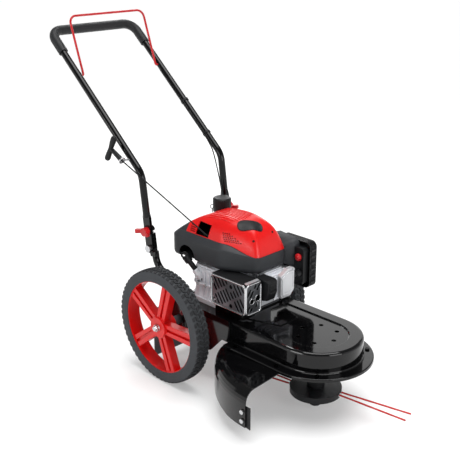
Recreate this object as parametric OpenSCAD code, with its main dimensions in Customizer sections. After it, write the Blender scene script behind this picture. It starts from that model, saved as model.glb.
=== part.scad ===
// Wheeled string trimmer: a pressed deck with a belt drive on two spoked wheels,
// a vertical-shaft engine and a folding handle with a bail lever.
// Millimetres. +X is forward, +Y is the operator's left, +Z is up.
// The origin is on the ground, under the axis of the cutting spindle.

/* [Wheels] */
// Radius over the tyre
wheel_r = 175; // [165:1:185]
// Width of the tyre
tyre_w = 48; // [42:1:54]
// Height of the tyre's section over the rim
tyre_h = 27; // [23:1:37]
// Distance from the deck's wall out to a wheel's centre plane
wheel_out = 80; // [77:1:92]
// Distance from the axle to the cutting spindle
wheel_base = 415; // [410:1:425]
// Radius of the axle rod
axle_r = 7; // [6:0.5:8]
// Number of spokes in a wheel
spoke_n = 5; // [4:1:6]

/* [Deck] */
// Half width of the pressed deck
deck_half_w = 128; // [124:1:131]
// Height of the deck's top edge
deck_top_z = 225; // [222:1:230]
// Height of the top of the deck's flange
flange_z = 166; // [164:1:168]
// Reach of the flange past the deck wall
flange_reach = 30; // [24:1:34]
// Thickness of the pressed sheet
sheet_t = 3; // [2:0.5:3.5]
// Half width of the sunk panel in the deck's top
panel_half_w = 88; // [80:1:94]
// Depth of the sunk panel
panel_drop = 4; // [3:0.5:6]
// Distance from the spindle back to the engine saddle
saddle_front = 215; // [205:1:225]
// Length of the engine saddle
saddle_len = 270; // [260:1:280]
// Height of the saddle's lower edge
saddle_low_z = 107; // [100:1:115]

/* [Cutting head] */
// Radius of the head's rim
head_r = 74; // [66:1:80]
// Height of the middle of the head's rim
head_z = 50; // [47:1:54]
// Radius swept by the line tips
line_reach = 280; // [270:1:281]
// Radius of a cutting line
line_r = 2; // [1.5:0.25:2.5]
// Radius of the spindle shaft
spindle_r = 10; // [8:0.5:11]
// Inner radius of the deflector wall
deflector_r = 285; // [284:1:290]
// Height of the deflector's lower edge
deflector_low_z = 48; // [44:1:54]

/* [Belt drive] */
// Distance from the spindle to the engine's crankshaft
shaft_gap = 325; // [320:1:330]
// Belt radius on the engine pulley
drive_pulley_r = 42; // [36:1:46]
// Belt radius on the spindle pulley
driven_pulley_r = 45; // [36:1:46]
// Width of the belt
belt_w = 11; // [9:0.5:12]

/* [Handle] */
// Radius of the handle tube
tube_r = 11; // [10:0.5:12]
// Wall of the handle tube
tube_wall = 1.5; // [1:0.25:2]
// Distance from a lower tube's centre plane out to its leg's
leg_splay = 16; // [14:1:18]
// Height of the fold pivot
pivot_z = 378; // [370:1:385]
// Distance from the axle back to the fold pivot
pivot_back = 105; // [98:1:112]
// Length of a leg from the fold pivot to its bend
leg_low_len = 227; // [215:1:240]
// Length of a leg from its bend to the grip
leg_up_len = 567; // [540:1:600]
// Backward lean of the lower stretch of a leg, in degrees
leg_low_lean = 7.7; // [5:0.1:10]
// Backward lean of the upper stretch of a leg, in degrees
leg_up_lean = 48.9; // [45:0.1:52]
// Radius of the foam grip
grip_r = 15; // [13:0.5:17]
// Length of the foam grip down each leg
grip_leg_len = 88; // [75:1:105]
// Radius of the bail rod
bail_r = 3.5; // [2.5:0.25:4]
// Length of the bail from its pivot to its bar
bail_len = 182; // [175:1:190]
// Backward lean of the bail at rest, in degrees
bail_lean = 19; // [15:1:22]
// Distance of the bail's pivot from the grip, along the leg
bail_down = 185; // [175:1:195]

/* [Engine] */
// Height of the crankcase over its base
case_h = 124; // [118:1:128]
// Half width of the blower housing
cowl_half_w = 98; // [94:1:104]
// Height of the blower housing's wall
cowl_wall_h = 63; // [55:1:70]
// Height of the red cover over the housing's wall
cover_h = 79; // [72:1:86]
// Wall of the plastic covers
cowl_t = 3; // [2:0.5:4]
// Radius of the fuel cap
cap_r = 28; // [25:0.5:31]
// Height of the fuel cap
cap_h = 42; // [34:1:48]

/* [Hidden] */
$fn = 64;

// Overrun of every cut past the face that it leaves
overrun = 1;
// Radial clearance of a running fit
run_gap = 0.05;
// Gap between faces of two pieces that move past each other
free_gap = 0.4;
// Segments of a rounded corner and of a profile's fillet
corner_steps = 6;
fillet_steps = 5;

// Places that several pieces share
axle_x = -wheel_base;
crank_x = -shaft_gap;
saddle_rear_x = -saddle_front - saddle_len;
saddle_top_z = deck_top_z + sheet_t;
plate_top_z = flange_z - sheet_t;
plate_low_z = plate_top_z - sheet_t;
deck_out_w = deck_half_w + flange_reach;
rim_r = wheel_r - tyre_h;
wheel_track = (deck_half_w + wheel_out) * 2;
bracket_t = 4;
low_tube_y = deck_half_w + sheet_t + bracket_t + tube_r;
leg_y = low_tube_y + leg_splay;

// Wheel and axle details
rim_w_share = 0.9;
rim_w = tyre_w * rim_w_share;
rim_wall = 9;
hub_r = 31;
spoke_root_w = 30;
spoke_tip_w = 38;
spoke_t = 26;
spoke_groove_w = 9;
spoke_groove_d = 7;
spoke_turn = 2;
bush_r = 11;
spoke_inset = 3;
spacer_r = 14;
nut_r = 11;
nut_h = 8;
nut_dome_h = 5;
tyre_edge = 5;
tyre_crown = 1.5;
tyre_foot_share = 0.3;

// Deck, saddle and guard details
deck_fillet = 9;
panel_slope = 3;
lip_h = 9;
lip_notch_l = 145;
panel_hole_pcd = 114;
panel_hole_n = 6;
panel_hole_r = 6.5;
pad_root_share = 0.85;
pad_tip_share = 0.42;
pad_len = 110;
pad_h = 2.5;
crank_hole_r = 52;
saddle_corner_r = 20;
saddle_heel = 33;
saddle_step_len = 49;
flap_rod_r = 4;
flap_rod_back = 36;
flap_rod_z = 168;
flap_half_w = deck_out_w;
flap_low_z = 16;
flap_t = 4;
flap_knuckle_r = 8;
ear_t = 4;
ear_h = 24;
ear_y_share = 0.6;
deflector_shoulder_r = 35;
deflector_sweep = 60;
deflector_flat_r = 165;
deflector_in_r = 132;
deflector_slope = 8;
deflector_top_z = plate_low_z;
knife_l = 34;
knife_t = 3;
knife_h = 62;
knife_nose = 13;
knife_bolt_share = 0.7;
knife_edge_share = 0.4;
knife_bolt_shares = [0.28, 0.72];
bolt_r = 4;
bolt_head_r = 7;
bolt_head_h = 4.5;

// Spindle and head details
bearing_out_r = 23.5;
bearing_w = 14;
housing_wall = 6;
housing_len = 62;
housing_flange_r = 72;
housing_flange_t = 10;
bearing_lip = 3.5;
bearing_inset = 2;
spindle_top_z = 202;
spindle_low_z = 66;
pulley_mid_z = 184;
pulley_lip = 6;
pulley_lip_t = 3;
belt_t = 5;
belt_steps = 24;
head_rim_h = 18;
head_floor_r = 42;
head_floor_z = 24;
head_hub_r = 25;
head_hub_h = 34;
knob_r = 18;
knob_foot_r = 15;
knob_stud_r = 6;
knob_stud_len = 14;
eyelet_r = 6;
eyelet_w = 7;
eyelet_out = 2;
line_root_angles = [26, 13.5];
line_tip_angles = [15.8, 8];
line_root_in = 14;

// Engine details, from the crankshaft's axis and the saddle's top
case_half_w = 82;
case_back = 92;
case_front = 86;
base_out = 14;
base_t = 14;
case_corner_r = 22;
case_wall = 8;
collar_r = 72;
collar_h = 12;
crank_r = 12.5;
crank_web_r = 36;
crank_web_t = 9;
crank_throw = 24;
crank_pin_r = 11;
crank_pin_h = 26;
crank_top = 172;
barrel_y = 20;
barrel_z = 87;
barrel_half_w = 30;
barrel_half_h = 30;
barrel_len = 76;
barrel_bore_r = 27;
fin_n = 6;
fin_t = 4;
fin_out = 6;
head_t = 16;
valve_t = 14;
valve_half_w = 28;
valve_half_h = 42;
valve_cut_share = 0.55;
valve_up = 13;
valve_corner_r = 5;
baffle_l = 52;
baffle_w = 36;
baffle_h = 84;
baffle_x = 134;
baffle_r = 10;
baffle_shares = [[0, 0.13], [0.83, 0.25], [1, 0.54], [1, 1], [0, 1]];
plug_r = 7;
plug_len = 24;
plug_boot_r = 10;
plug_boot_len = 17;
guard_x = 22;
guard_l = 140;
guard_y = -120;
guard_w = 62;
guard_z = 30;
guard_h = 93;
guard_t = 1.5;
guard_corner_r = 9;
slot_w = 7.5;
slot_rows = 3;
slot_h_share = 0.26;
slot_pitch_share = 0.105;
slot_lean = 38;
muffler_gap = 9;
pipe_r = 12;
flywheel_r = 74;
flywheel_h = 20;
flywheel_z = 131;
vane_n = 16;
vane_h = 18;
vane_l = 22;
vane_t = 3;
reel_r = 68;
reel_groove_r = 60;
reel_lip_t = 3;
reel_h = 18;
reel_z = 189;
reel_post_r = 9;
cowl_back = 180;
cowl_front = 135;
cowl_nose_half = 62;
nose_out_share = 0.85;
wall_dip = 12;
rim_dip = 28;
cowl_knee_x = 28;
cowl_ledge_in = 18;
cowl_ledge_h = 15;
cowl_hole_r = 60;
cowl_corner_rs = [30, 70, 24, 24, 70, 30];
arch_x = -106;
arch_r = 34;
arch_up = 8;
arch_depth = 14;
cover_back = 138;
cover_rings = 9;
cover_dip = 22;
cover_dip_len = 137;
crest_x = 0;
cover_mid = [18, 14];
cover_oval = [140, 80];
cover_round = 5;
cover_blend = 1.3;
window_x = -86;
window_l = 54;
window_w = 46;
window_h = 36;
tank_l = 82;
tank_w = 120;
tank_h = 58;
tank_y = 30;
neck_r = 19;
cap_x = -112;
cap_y = 56;
cap_z = 238;
cap_seat = 14;
cap_ridge_n = 24;
cap_ridge_r = 2;
stick_foot = [-56, -72, 58];
stick_lean = 36;
stick_turn = 220;
stick_tube_len = 76;
stick_tube_r = 8;
stick_tube_wall = 2;
stick_r = 3;
stick_cap_r = 12;
stick_cap_h = 20;
filter_x = 64;
filter_l = 126;
filter_y = 120;
filter_w = 29;
filter_z = 49;
filter_h = 143;
filter_corner_r = 18;
filter_wall = 3;
filter_base_t = 20;
filter_rib_n = 4;
filter_rib_d = 2;
filter_rib_w = 3;
carb_l = 44;
carb_h = 44;
carb_throat_r = 12;
bulb_r = 11;
bulb_h = 9;
bulb_x = 163;
bulb_z = 149;
bulb_travel = 6;
bulb_dome_share = 0.6;

// Handle details
flat_t = 9;
flat_half_w = 15;
flat_top = 112;
flat_tube_from = 96;
lower_flat_drop = 14;
lower_flat_top = 70;
low_foot_z = 138;
low_foot_x = 34;
low_knee_x = 26;
low_knee_z = 228;
low_neck = 50;
low_bend_r = 50;
leg_bend_r = 60;
leg_corner_r = 38;
stud_up = 54;
stud_r = 4;
stud_seat = 11;
pivot_bolt_r = 5;
low_bolt_shares = [0.22, 0.78];
knob_hub_r = 13;
knob_hub_l = 16;
wing_l = 29;
wing_h = 20;
wing_t = 11;
wing_tip_r = 5;
guide_along = 55;
guide_fore = 6;
guide_out = 41;
eye_r = 9;
eye_wire_r = 2.5;
pull_rise = 28;
tee_stem_len = 58;
tee_stem_r = 6;
tee_half_len = 45;
tee_r = 9;
tee_waist_r = 7;
rope_r = 1.75;
cable_r = 2;
bail_side_gap = 7;
bail_half_w = leg_y - tube_r - bail_side_gap;
bail_bend_r = 24;
bail_foot_bend_r = 5.5;
clip_shares = [0.24, 0.62];
clip_w = 8;
clip_t = 2.2;

// Fold pivot, bend and grip corner of a leg, in the XZ plane
pivot = [axle_x - pivot_back, pivot_z];
leg_dir = [-sin(leg_low_lean), cos(leg_low_lean)];
arm_dir = [-sin(leg_up_lean), cos(leg_up_lean)];
bend = pivot + leg_low_len * leg_dir;
grip_at = bend + leg_up_len * arm_dir;
bail_at = grip_at - bail_down * arm_dir;
bail_top = bail_at + bail_len * [-sin(bail_lean), cos(bail_lean)];
stud_at = pivot + stud_up * leg_dir;
arm_back = [-arm_dir.y, arm_dir.x];
guide_at = bend + guide_along * arm_dir - guide_fore * arm_back;
guide_y = -leg_y - guide_out;

// A route between two points, from its shares of the way along each axis
function route(from, to, shares) =
  [for (q = shares) from + [for (k = [0 : 2]) q[k] * (to[k] - from[k])]];

// Route of the starter rope, from its guide into the cover's window to the reel
rope_shares = [[0, 0, 0], [0.359, 0.448, 0.44], [0.647, 0.806, 0.793], [0.719, 0.896, 0.881],
  [0.867, 0.95, 0.977], [1, 1, 1]];
rope_end = [crank_x, -reel_groove_r - rope_r * 2, saddle_top_z + reel_z + reel_h / 2];
rope_route = route([guide_at.x, guide_y, guide_at.y], rope_end, rope_shares);
// Route of the brake cable, down the left leg to its last clip
cable_gap = 0.5;
cable_drop = 24;
cable_run = leg_up_len - bail_down - cable_drop;
cable_shares = [1, 0.851, 0.555, 0.333, 0.191];
cable_y = leg_y - tube_r - cable_r - cable_gap;
cable_route = [for (q = cable_shares) let (p = bend + q * cable_run * arm_dir) [p.x, cable_y, p.y]];
// Route of the cable's free tail, from the last clip to the engine's far side
tail_back = 85;
tail_up = 152;
tail_gap = 0.5;
tail_end = [crank_x - tail_back, cowl_half_w + cable_r + tail_gap, saddle_top_z + tail_up];
tail_shares = [[0, 0, 0], [0.146, 0, 0.134], [0.271, 0.021, 0.366], [0.365, 0.043, 0.59],
  [0.469, 0.213, 0.776], [0.635, 0.553, 0.907], [0.844, 0.809, 0.981], [1, 1, 1]];
tail_start = cable_route[len(cable_route) - 1] - at_y(arm_dir, 0) * tail_gap;
tail_route = route(tail_start, tail_end, tail_shares);

// Unit vector, and the turn of a path at one of its points
function unit(v) = v / norm(v);
function turn(path, i) = acos(unit(path[i] - path[i - 1]) * unit(path[i + 1] - path[i]));
function at_y(p, y) = [p.x, y, p.y];
function wrap(i, n) = (i + n) % n;

// Points of a corner's fillet, from the direction into it to the direction out of it
function fillet(v, d1, d2, r, steps) =
  let (n1 = [-d1.y, d1.x], s = cross(d1, d2) >= 0 ? 1 : -1, a = s * acos(min(1, d1 * d2)),
    c = v - d1 * r * abs(tan(a / 2)) + s * r * n1, a0 = atan2(-s * n1.y, -s * n1.x))
  [for (k = [0 : steps]) c + r * [cos(a0 + a * k / steps), sin(a0 + a * k / steps)]];

// Outline of a polygon, counted anticlockwise, with rounded corners, drawn in by an inset
function rounded(pts, radii, inset = 0, steps = corner_steps) =
  let (n = len(pts))
  [for (i = [0 : n - 1])
    let (d1 = unit(pts[i] - pts[wrap(i - 1, n)]), d2 = unit(pts[wrap(i + 1, n)] - pts[i]),
      n1 = [-d1.y, d1.x], n2 = [-d2.y, d2.x],
      v = pts[i] + inset * (n1 + n2) / (1 + n1 * n2))
    each radii[i] > inset ? fillet(v, d1, d2, radii[i] - inset, steps) : [v]];

function rect(x0, y0, x1, y1) = [[x0, y0], [x1, y0], [x1, y1], [x0, y1]];
function same(r, n) = [for (i = [0 : n - 1]) r];

// Catmull-Rom points through a route
function spline(p, steps) =
  let (n = len(p))
  [for (i = [0 : n - 2])
    let (a = p[max(i - 1, 0)], b = p[i], c = p[i + 1], d = p[min(i + 2, n - 1)])
    for (k = [0 : i == n - 2 ? steps : steps - 1])
      let (t = k / steps)
      (2 * b + (c - a) * t + (2 * a - 5 * b + 4 * c - d) * t ^ 2
        + (3 * b - a - 3 * c + d) * t ^ 3) / 2];

// Solid between rings of equally many points, each ring counted anticlockwise from above
module skin(rings) {
  n = len(rings[0]);
  m = len(rings);
  pts = [for (r = rings) each r];
  low = [for (i = [0 : n - 1]) 1] * rings[0] / n;
  top = [for (i = [0 : n - 1]) 1] * rings[m - 1] / n;
  polyhedron(concat(pts, [low, top]), concat(
    [for (j = [0 : m - 2]) for (i = [0 : n - 1]) [j * n + i, j * n + n + i, j * n + n + wrap(i + 1, n)]],
    [for (j = [0 : m - 2]) for (i = [0 : n - 1])
      [j * n + i, j * n + n + wrap(i + 1, n), j * n + wrap(i + 1, n)]],
    [for (i = [0 : n - 1]) [n * m, i, wrap(i + 1, n)]],
    [for (i = [0 : n - 1]) [n * m + 1, n * m - n + wrap(i + 1, n), n * m - n + i]]));
}

// Tube swept along a route that never runs along Y
module swept(route, r, sides) {
  n = len(route);
  rings = [for (i = [0 : n - 1])
    let (d = unit(route[min(i + 1, n - 1)] - route[max(i - 1, 0)]),
      u = unit(cross([0, 1, 0], d)), v = cross(d, u))
    [for (k = [0 : sides - 1]) route[i] + r * (u * cos(360 * k / sides) + v * sin(360 * k / sides))]];
  skin(rings);
}

module rod(a, b, r) {
  v = b - a;
  translate(a)
    rotate([0, acos(v.z / norm(v)), atan2(v.y, v.x)])
      cylinder(h = norm(v), r = r);
}

module pipe(a, b, r, bore_r) {
  v = b - a;
  translate(a)
    rotate([0, acos(v.z / norm(v)), atan2(v.y, v.x)])
      linear_extrude(norm(v))
        hoop(r, bore_r);
}

module hoop(r, bore_r) {
  difference() {
    circle(r = r);
    if (bore_r > 0)
      circle(r = bore_r);
  }
}

module elbow(p0, p1, p2, bend_r, r, bore_r) {
  d1 = unit(p1 - p0);
  d2 = unit(p2 - p1);
  a = acos(d1 * d2);
  n = unit(d2 - d1 * (d1 * d2));
  c = p1 - d1 * bend_r * tan(a / 2) + n * bend_r;
  z = cross(-n, d1);
  multmatrix([[-n.x, d1.x, z.x, c.x], [-n.y, d1.y, z.y, c.y], [-n.z, d1.z, z.z, c.z], [0, 0, 0, 1]])
    rotate_extrude(angle = a)
      translate([bend_r, 0])
        hoop(r, bore_r);
}

// Round bar or tube along a path, with a bend of the given radius at each inner point
module bent_bar(path, bends, r, bore_r = 0) {
  bore_seam = bore_r > 0 ? run_gap : 0;
  n = len(path);
  trim = [for (i = [0 : n - 1]) i == 0 || i == n - 1 ? 0 : bends[i] * tan(turn(path, i) / 2)];
  for (i = [0 : n - 2]) {
    d = unit(path[i + 1] - path[i]);
    e0 = i > 0 ? overrun : 0;
    e1 = i < n - 2 ? overrun : 0;
    pipe(path[i] + d * (trim[i] - e0), path[i + 1] - d * (trim[i + 1] - e1), r, bore_r);
  }
  for (i = [1 : n - 2])
    elbow(path[i - 1], path[i], path[i + 1], bends[i], r - run_gap, bore_r + bore_seam);
}

// Children drawn in the XZ plane and extruded along +Y from y0
module upright(y0, w) {
  translate([0, y0 + w, 0])
    rotate([90, 0, 0])
      linear_extrude(w)
        children();
}

module both_sides() {
  children();
  mirror([0, 1, 0])
    children();
}

module side_of(side) {
  if (side < 0)
    children();
  else
    mirror([0, 1, 0])
      children();
}

module hex_bolt(shank_l) {
  translate([0, 0, -shank_l])
    cylinder(h = shank_l + bolt_head_h / 2, r = bolt_r);
  cylinder(h = bolt_head_h, r = bolt_head_r, $fn = 6);
}

module engine_place() {
  translate([crank_x, 0, saddle_top_z])
    children();
}

// One wheel's pieces are drawn about Z with the outer face up, then set on the axle
module wheel_place(side) {
  side_of(side)
    translate([axle_x, -wheel_track / 2, wheel_r])
      rotate([90, 0, 0])
        children();
}

module tyre(side) {
  half = tyre_w / 2;
  foot = half * tyre_foot_share;
  bead_r = rim_r - rim_wall + tyre_crown;
  flank = [[rim_r, -rim_w / 2], [bead_r, -rim_w / 2], [bead_r + tyre_crown, -half],
    [wheel_r - tyre_edge * 2, -half], [wheel_r - tyre_crown, tyre_edge - half], [wheel_r, -foot]];
  color("dimgray")
    wheel_place(side)
      rotate_extrude()
        polygon(concat(flank, [for (i = [len(flank) - 1 : -1 : 0]) [flank[i].x, -flank[i].y]]));
}

module rim(side) {
  band_r = rim_r - rim_wall;
  face_z = rim_w / 2 - spoke_inset;
  color("red")
    wheel_place(side)
      difference() {
        union() {
          rotate_extrude()
            translate([band_r, -rim_w / 2])
              square([rim_wall, rim_w]);
          translate([0, 0, -tyre_w / 2])
            cylinder(h = tyre_w, r = hub_r);
          for (i = [0 : spoke_n - 1])
            rotate([0, 0, spoke_turn + 360 * i / spoke_n])
              translate([0, 0, face_z - spoke_t])
                linear_extrude(spoke_t)
                  polygon([[0, -spoke_root_w / 2], [band_r + rim_wall / 2, -spoke_tip_w / 2],
                    [band_r + rim_wall / 2, spoke_tip_w / 2], [0, spoke_root_w / 2]]);
        }
        translate([0, 0, -tyre_w / 2 - overrun])
          cylinder(h = tyre_w + overrun * 2, r = bush_r + run_gap);
        for (i = [0 : spoke_n - 1])
          rotate([0, 0, spoke_turn + 360 * i / spoke_n])
            translate([hub_r + spoke_inset, -spoke_groove_w / 2, face_z - spoke_groove_d])
              cube([band_r - hub_r - spoke_inset * 2, spoke_groove_w, spoke_groove_d + overrun]);
      }
}

module right_tyre() tyre(-1);
module left_tyre() tyre(1);
module right_rim() rim(-1);
module left_rim() rim(1);

axle_half = wheel_track / 2 + tyre_w / 2 + free_gap + nut_h;

module axle() {
  color("silver")
    rod([axle_x, -axle_half, wheel_r], [axle_x, axle_half, wheel_r], axle_r);
}

// Turned sleeves on the axle: a spacer from the saddle to the hub, then the wheel's bush
module wheel_bushes() {
  hub_in = wheel_track / 2 - tyre_w / 2;
  saddle_out = deck_half_w + sheet_t;
  color("goldenrod")
    both_sides()
      difference() {
        union() {
          rod([axle_x, -hub_in + free_gap, wheel_r], [axle_x, -saddle_out, wheel_r], spacer_r);
          rod([axle_x, -hub_in - tyre_w, wheel_r], [axle_x, -saddle_out, wheel_r], bush_r);
        }
        rod([axle_x, -hub_in - tyre_w - overrun, wheel_r], [axle_x, overrun - saddle_out, wheel_r], axle_r);
      }
}

module axle_nuts() {
  color("silver")
    both_sides()
      translate([axle_x, nut_h - axle_half, wheel_r])
        rotate([90, 0, 0])
          difference() {
            union() {
              cylinder(h = nut_h, r = nut_r + run_gap, $fn = 6);
              cylinder(h = nut_h + nut_dome_h, r1 = nut_r, r2 = axle_r);
            }
            translate([0, 0, -overrun])
              cylinder(h = nut_h + overrun, r = axle_r);
          }
}

// Lower handle's straight foot, from its end to its knee, in the XZ plane
low_foot = [axle_x + low_foot_x, low_foot_z];
low_knee = [axle_x + low_knee_x, low_knee_z];
low_bolts = [for (s = low_bolt_shares) low_foot + s * (low_knee - low_foot)];

// Places of the flange bolts and of the engine's bolts
flange_mid = deck_half_w + flange_reach / 2;
flange_bolt_xs = [-180, -23];
flange_bolt_turns = [-50, 50];
engine_bolt_at = [for (x = [-case_back, case_front], s = [-1, 1])
  [crank_x + x, s * (case_half_w + base_out / 2)]];
flange_bolt_at = concat([for (x = flange_bolt_xs, s = [-1, 1]) [x, s * flange_mid]],
  [for (a = flange_bolt_turns) flange_mid * [cos(a), sin(a)]]);

module drill(places, z0, z1, r) {
  for (p = places)
    translate([p.x, p.y, z0])
      cylinder(h = z1 - z0, r = r);
}

flap_rod_x = saddle_rear_x - flap_rod_back;
ear_y = flap_half_w * ear_y_share;

// Steel saddle over the deck: top plate under the engine, side plates for the axle, rear plate and flap rod
module chassis_frame() {
  out_w = deck_half_w + sheet_t;
  side = [[saddle_rear_x, saddle_low_z + saddle_heel], [saddle_rear_x + saddle_heel, saddle_low_z],
    [-saddle_front - saddle_step_len - saddle_heel, saddle_low_z], [-saddle_front - saddle_heel, plate_low_z],
    [-saddle_front, plate_low_z], [-saddle_front, saddle_top_z], [saddle_rear_x, saddle_top_z]];
  radii = [saddle_corner_r, saddle_corner_r, saddle_corner_r, saddle_corner_r / 2, 0, 0, 0];
  color("black")
    difference() {
      union() {
        both_sides()
          upright(-out_w, sheet_t)
            polygon(rounded(side, radii));
        translate([saddle_rear_x, -out_w, deck_top_z])
          cube([saddle_len, out_w * 2, sheet_t]);
        translate([saddle_rear_x, -out_w, saddle_low_z + saddle_heel + saddle_corner_r])
          cube([sheet_t, out_w * 2, deck_top_z - saddle_low_z - saddle_heel - saddle_corner_r]);
        both_sides()
          translate([flap_rod_x - flap_rod_r * 2, ear_y - ear_t / 2, flap_rod_z - ear_h / 2])
            cube([flap_rod_back + flap_rod_r * 2, ear_t, ear_h]);
        rod([flap_rod_x, -flap_half_w, flap_rod_z], [flap_rod_x, flap_half_w, flap_rod_z], flap_rod_r);
      }
      rod([axle_x, -out_w - overrun, wheel_r], [axle_x, out_w + overrun, wheel_r], axle_r);
      drill([[crank_x, 0]], deck_top_z - overrun, saddle_top_z + overrun, crank_hole_r);
      drill(engine_bolt_at, deck_top_z - overrun, saddle_top_z + overrun, bolt_r);
      both_sides()
        for (p = low_bolts)
          rod([p.x, -out_w - overrun, p.y], [p.x, overrun - deck_half_w, p.y], bolt_r);
    }
}

// Section of the deck in front of the saddle: sunk panel, rounded edge, wall, flange and lip
function deck_section() =
  let (panel_z = deck_top_z - panel_drop, in_w = deck_half_w - sheet_t, slope_w = panel_half_w - panel_slope)
  rounded([[0, panel_z - sheet_t], [slope_w + sheet_t / 2, panel_z - sheet_t],
    [panel_half_w + sheet_t / 2, deck_top_z - sheet_t], [in_w, deck_top_z - sheet_t],
    [in_w, flange_z - sheet_t], [deck_out_w - sheet_t, flange_z - sheet_t],
    [deck_out_w - sheet_t, flange_z - lip_h], [deck_out_w, flange_z - lip_h], [deck_out_w, flange_z],
    [deck_half_w, flange_z], [deck_half_w, deck_top_z], [panel_half_w, deck_top_z], [slope_w, panel_z],
    [0, panel_z]],
    [0, 0, 0, deck_fillet - sheet_t, 0, 0, 0, 0, sheet_t, deck_fillet / 2, deck_fillet, 0, 0, 0],
    0, fillet_steps);

function saddle_section() =
  let (in_w = deck_half_w - sheet_t, low = flange_z - sheet_t)
  rounded([[0, deck_top_z - sheet_t], [in_w, deck_top_z - sheet_t], [in_w, low], [deck_half_w, low],
    [deck_half_w, deck_top_z], [0, deck_top_z]],
    [0, deck_fillet - sheet_t, 0, 0, deck_fillet, 0], 0, fillet_steps);

// A half section drawn in YZ and run along +X from x0, on both sides
module run_along(x0, x1) {
  both_sides()
    translate([x0, 0, 0])
      rotate([90, 0, 90])
        linear_extrude(x1 - x0)
          children();
}

module deck_shell() {
  panel_z = deck_top_z - panel_drop;
  color("black")
    difference() {
      union() {
        rotate([0, 0, -90])
          rotate_extrude(angle = 180)
            polygon(deck_section());
        run_along(-saddle_front, 0)
          polygon(deck_section());
        run_along(saddle_rear_x + sheet_t, -saddle_front)
          polygon(saddle_section());
        translate([-saddle_front - sheet_t, -panel_half_w, panel_z - sheet_t])
          cube([sheet_t, panel_half_w * 2, panel_drop + sheet_t]);
        translate([-saddle_front, 0, panel_z])
          linear_extrude(pad_h)
            polygon([[0, -panel_half_w * pad_root_share], [pad_len, -panel_half_w * pad_tip_share],
              [pad_len, panel_half_w * pad_tip_share], [0, panel_half_w * pad_root_share]]);
      }
      for (i = [0 : panel_hole_n - 1])
        rotate([0, 0, 360 * i / panel_hole_n])
          translate([panel_hole_pcd / 2, 0, panel_z - sheet_t - overrun])
            cylinder(h = sheet_t + overrun * 2, r = panel_hole_r);
      drill([[crank_x, 0]], deck_top_z - sheet_t - overrun, deck_top_z + overrun, crank_hole_r);
      drill(engine_bolt_at, deck_top_z - sheet_t - overrun, deck_top_z + overrun, bolt_r);
      drill(flange_bolt_at, flange_z - sheet_t - overrun, flange_z + overrun, bolt_r);
      rod([axle_x, -deck_out_w, wheel_r], [axle_x, deck_out_w, wheel_r], axle_r);
      // Notch in the lip for the deflector's tongue
      translate([-lip_notch_l, -deck_out_w - overrun, flange_z - lip_h - overrun])
        cube([lip_notch_l + overrun, sheet_t + overrun * 2, deflector_top_z - flange_z + lip_h + overrun]);
    }
}

spindle_bolt_at = [for (i = [0 : panel_hole_n - 1])
  panel_hole_pcd / 2 * [cos(360 * i / panel_hole_n), sin(360 * i / panel_hole_n)]];
boss_r = bearing_out_r + housing_wall;

module deck_plate() {
  half_w = deck_out_w - sheet_t - free_gap;
  color("black")
    difference() {
      translate([0, 0, plate_low_z])
        linear_extrude(sheet_t)
          union() {
            circle(r = half_w);
            translate([-saddle_front, -half_w])
              square([saddle_front, half_w * 2]);
            translate([saddle_rear_x + sheet_t, -deck_half_w])
              square([saddle_len, deck_half_w * 2]);
          }
      drill([[0, 0]], plate_low_z - overrun, plate_top_z + overrun, boss_r);
      drill(concat(spindle_bolt_at, flange_bolt_at), plate_low_z - overrun, plate_top_z + overrun, bolt_r);
    }
}

// Section of the deflector: flat tongue under the deck, slope, rounded shoulder and wall
function deflector_section() =
  let (out_r = deflector_r + sheet_t, knee_z = deflector_top_z - deflector_slope)
  rounded([[deflector_in_r, deflector_top_z - sheet_t], [deflector_flat_r, deflector_top_z - sheet_t],
    [deflector_r, knee_z - sheet_t], [deflector_r, deflector_low_z], [out_r, deflector_low_z],
    [out_r, knee_z], [deflector_flat_r, deflector_top_z], [deflector_in_r, deflector_top_z]],
    [0, 0, deflector_shoulder_r - sheet_t, 0, 0, deflector_shoulder_r, 0, 0]);

// The deflector's rear end is cut away upwards, as shares of its wall's height
rear_cut_shares = [[-1.2, 1.2], [-0.56, 1.06], [-0.45, 0.91], [-0.09, 0.49], [0.1, 0.25], [0.27, 0.107],
  [1.085, 0.05], [1.6, -0.02], [1.6, -0.4], [-1.2, -0.4]];
rear_cut_angle = -140;
knife_y = knife_t - deflector_r + overrun;
knife_bolt_x = knife_nose - knife_l * knife_bolt_share;
knife_bolt_zs = [for (s = knife_bolt_shares) deflector_low_z + knife_h * s];

module knife_drill(y0, y1) {
  for (z = knife_bolt_zs)
    rod([knife_bolt_x, y0, z], [knife_bolt_x, y1, z], bolt_r);
}

module deflector() {
  wall_h = deflector_top_z - deflector_low_z;
  color("black")
    difference() {
      rotate([0, 0, -90 - deflector_sweep])
        rotate_extrude(angle = deflector_sweep)
          polygon(deflector_section());
      rotate([0, 0, rear_cut_angle])
        translate([deflector_flat_r, 0, deflector_low_z])
          rotate([90, 0, 90])
            linear_extrude(deflector_r)
              polygon([for (p = rear_cut_shares) p * wall_h]);
      drill(flange_bolt_at, deflector_low_z, deflector_top_z + overrun, bolt_r);
      knife_drill(-deflector_r - sheet_t - overrun, overrun * 2 - deflector_r + sheet_t);
    }
}

module line_knife() {
  color("dimgray")
    difference() {
      upright(knife_y - knife_t, knife_t)
        polygon([[knife_nose - knife_l, deflector_low_z],
          [knife_nose - knife_l * knife_edge_share, deflector_low_z],
          [knife_nose, deflector_low_z - knife_t], [knife_nose, deflector_low_z + knife_h],
          [knife_nose - knife_l, deflector_low_z + knife_h]]);
      knife_drill(knife_y - knife_t - overrun, knife_y + overrun);
    }
}

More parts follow.
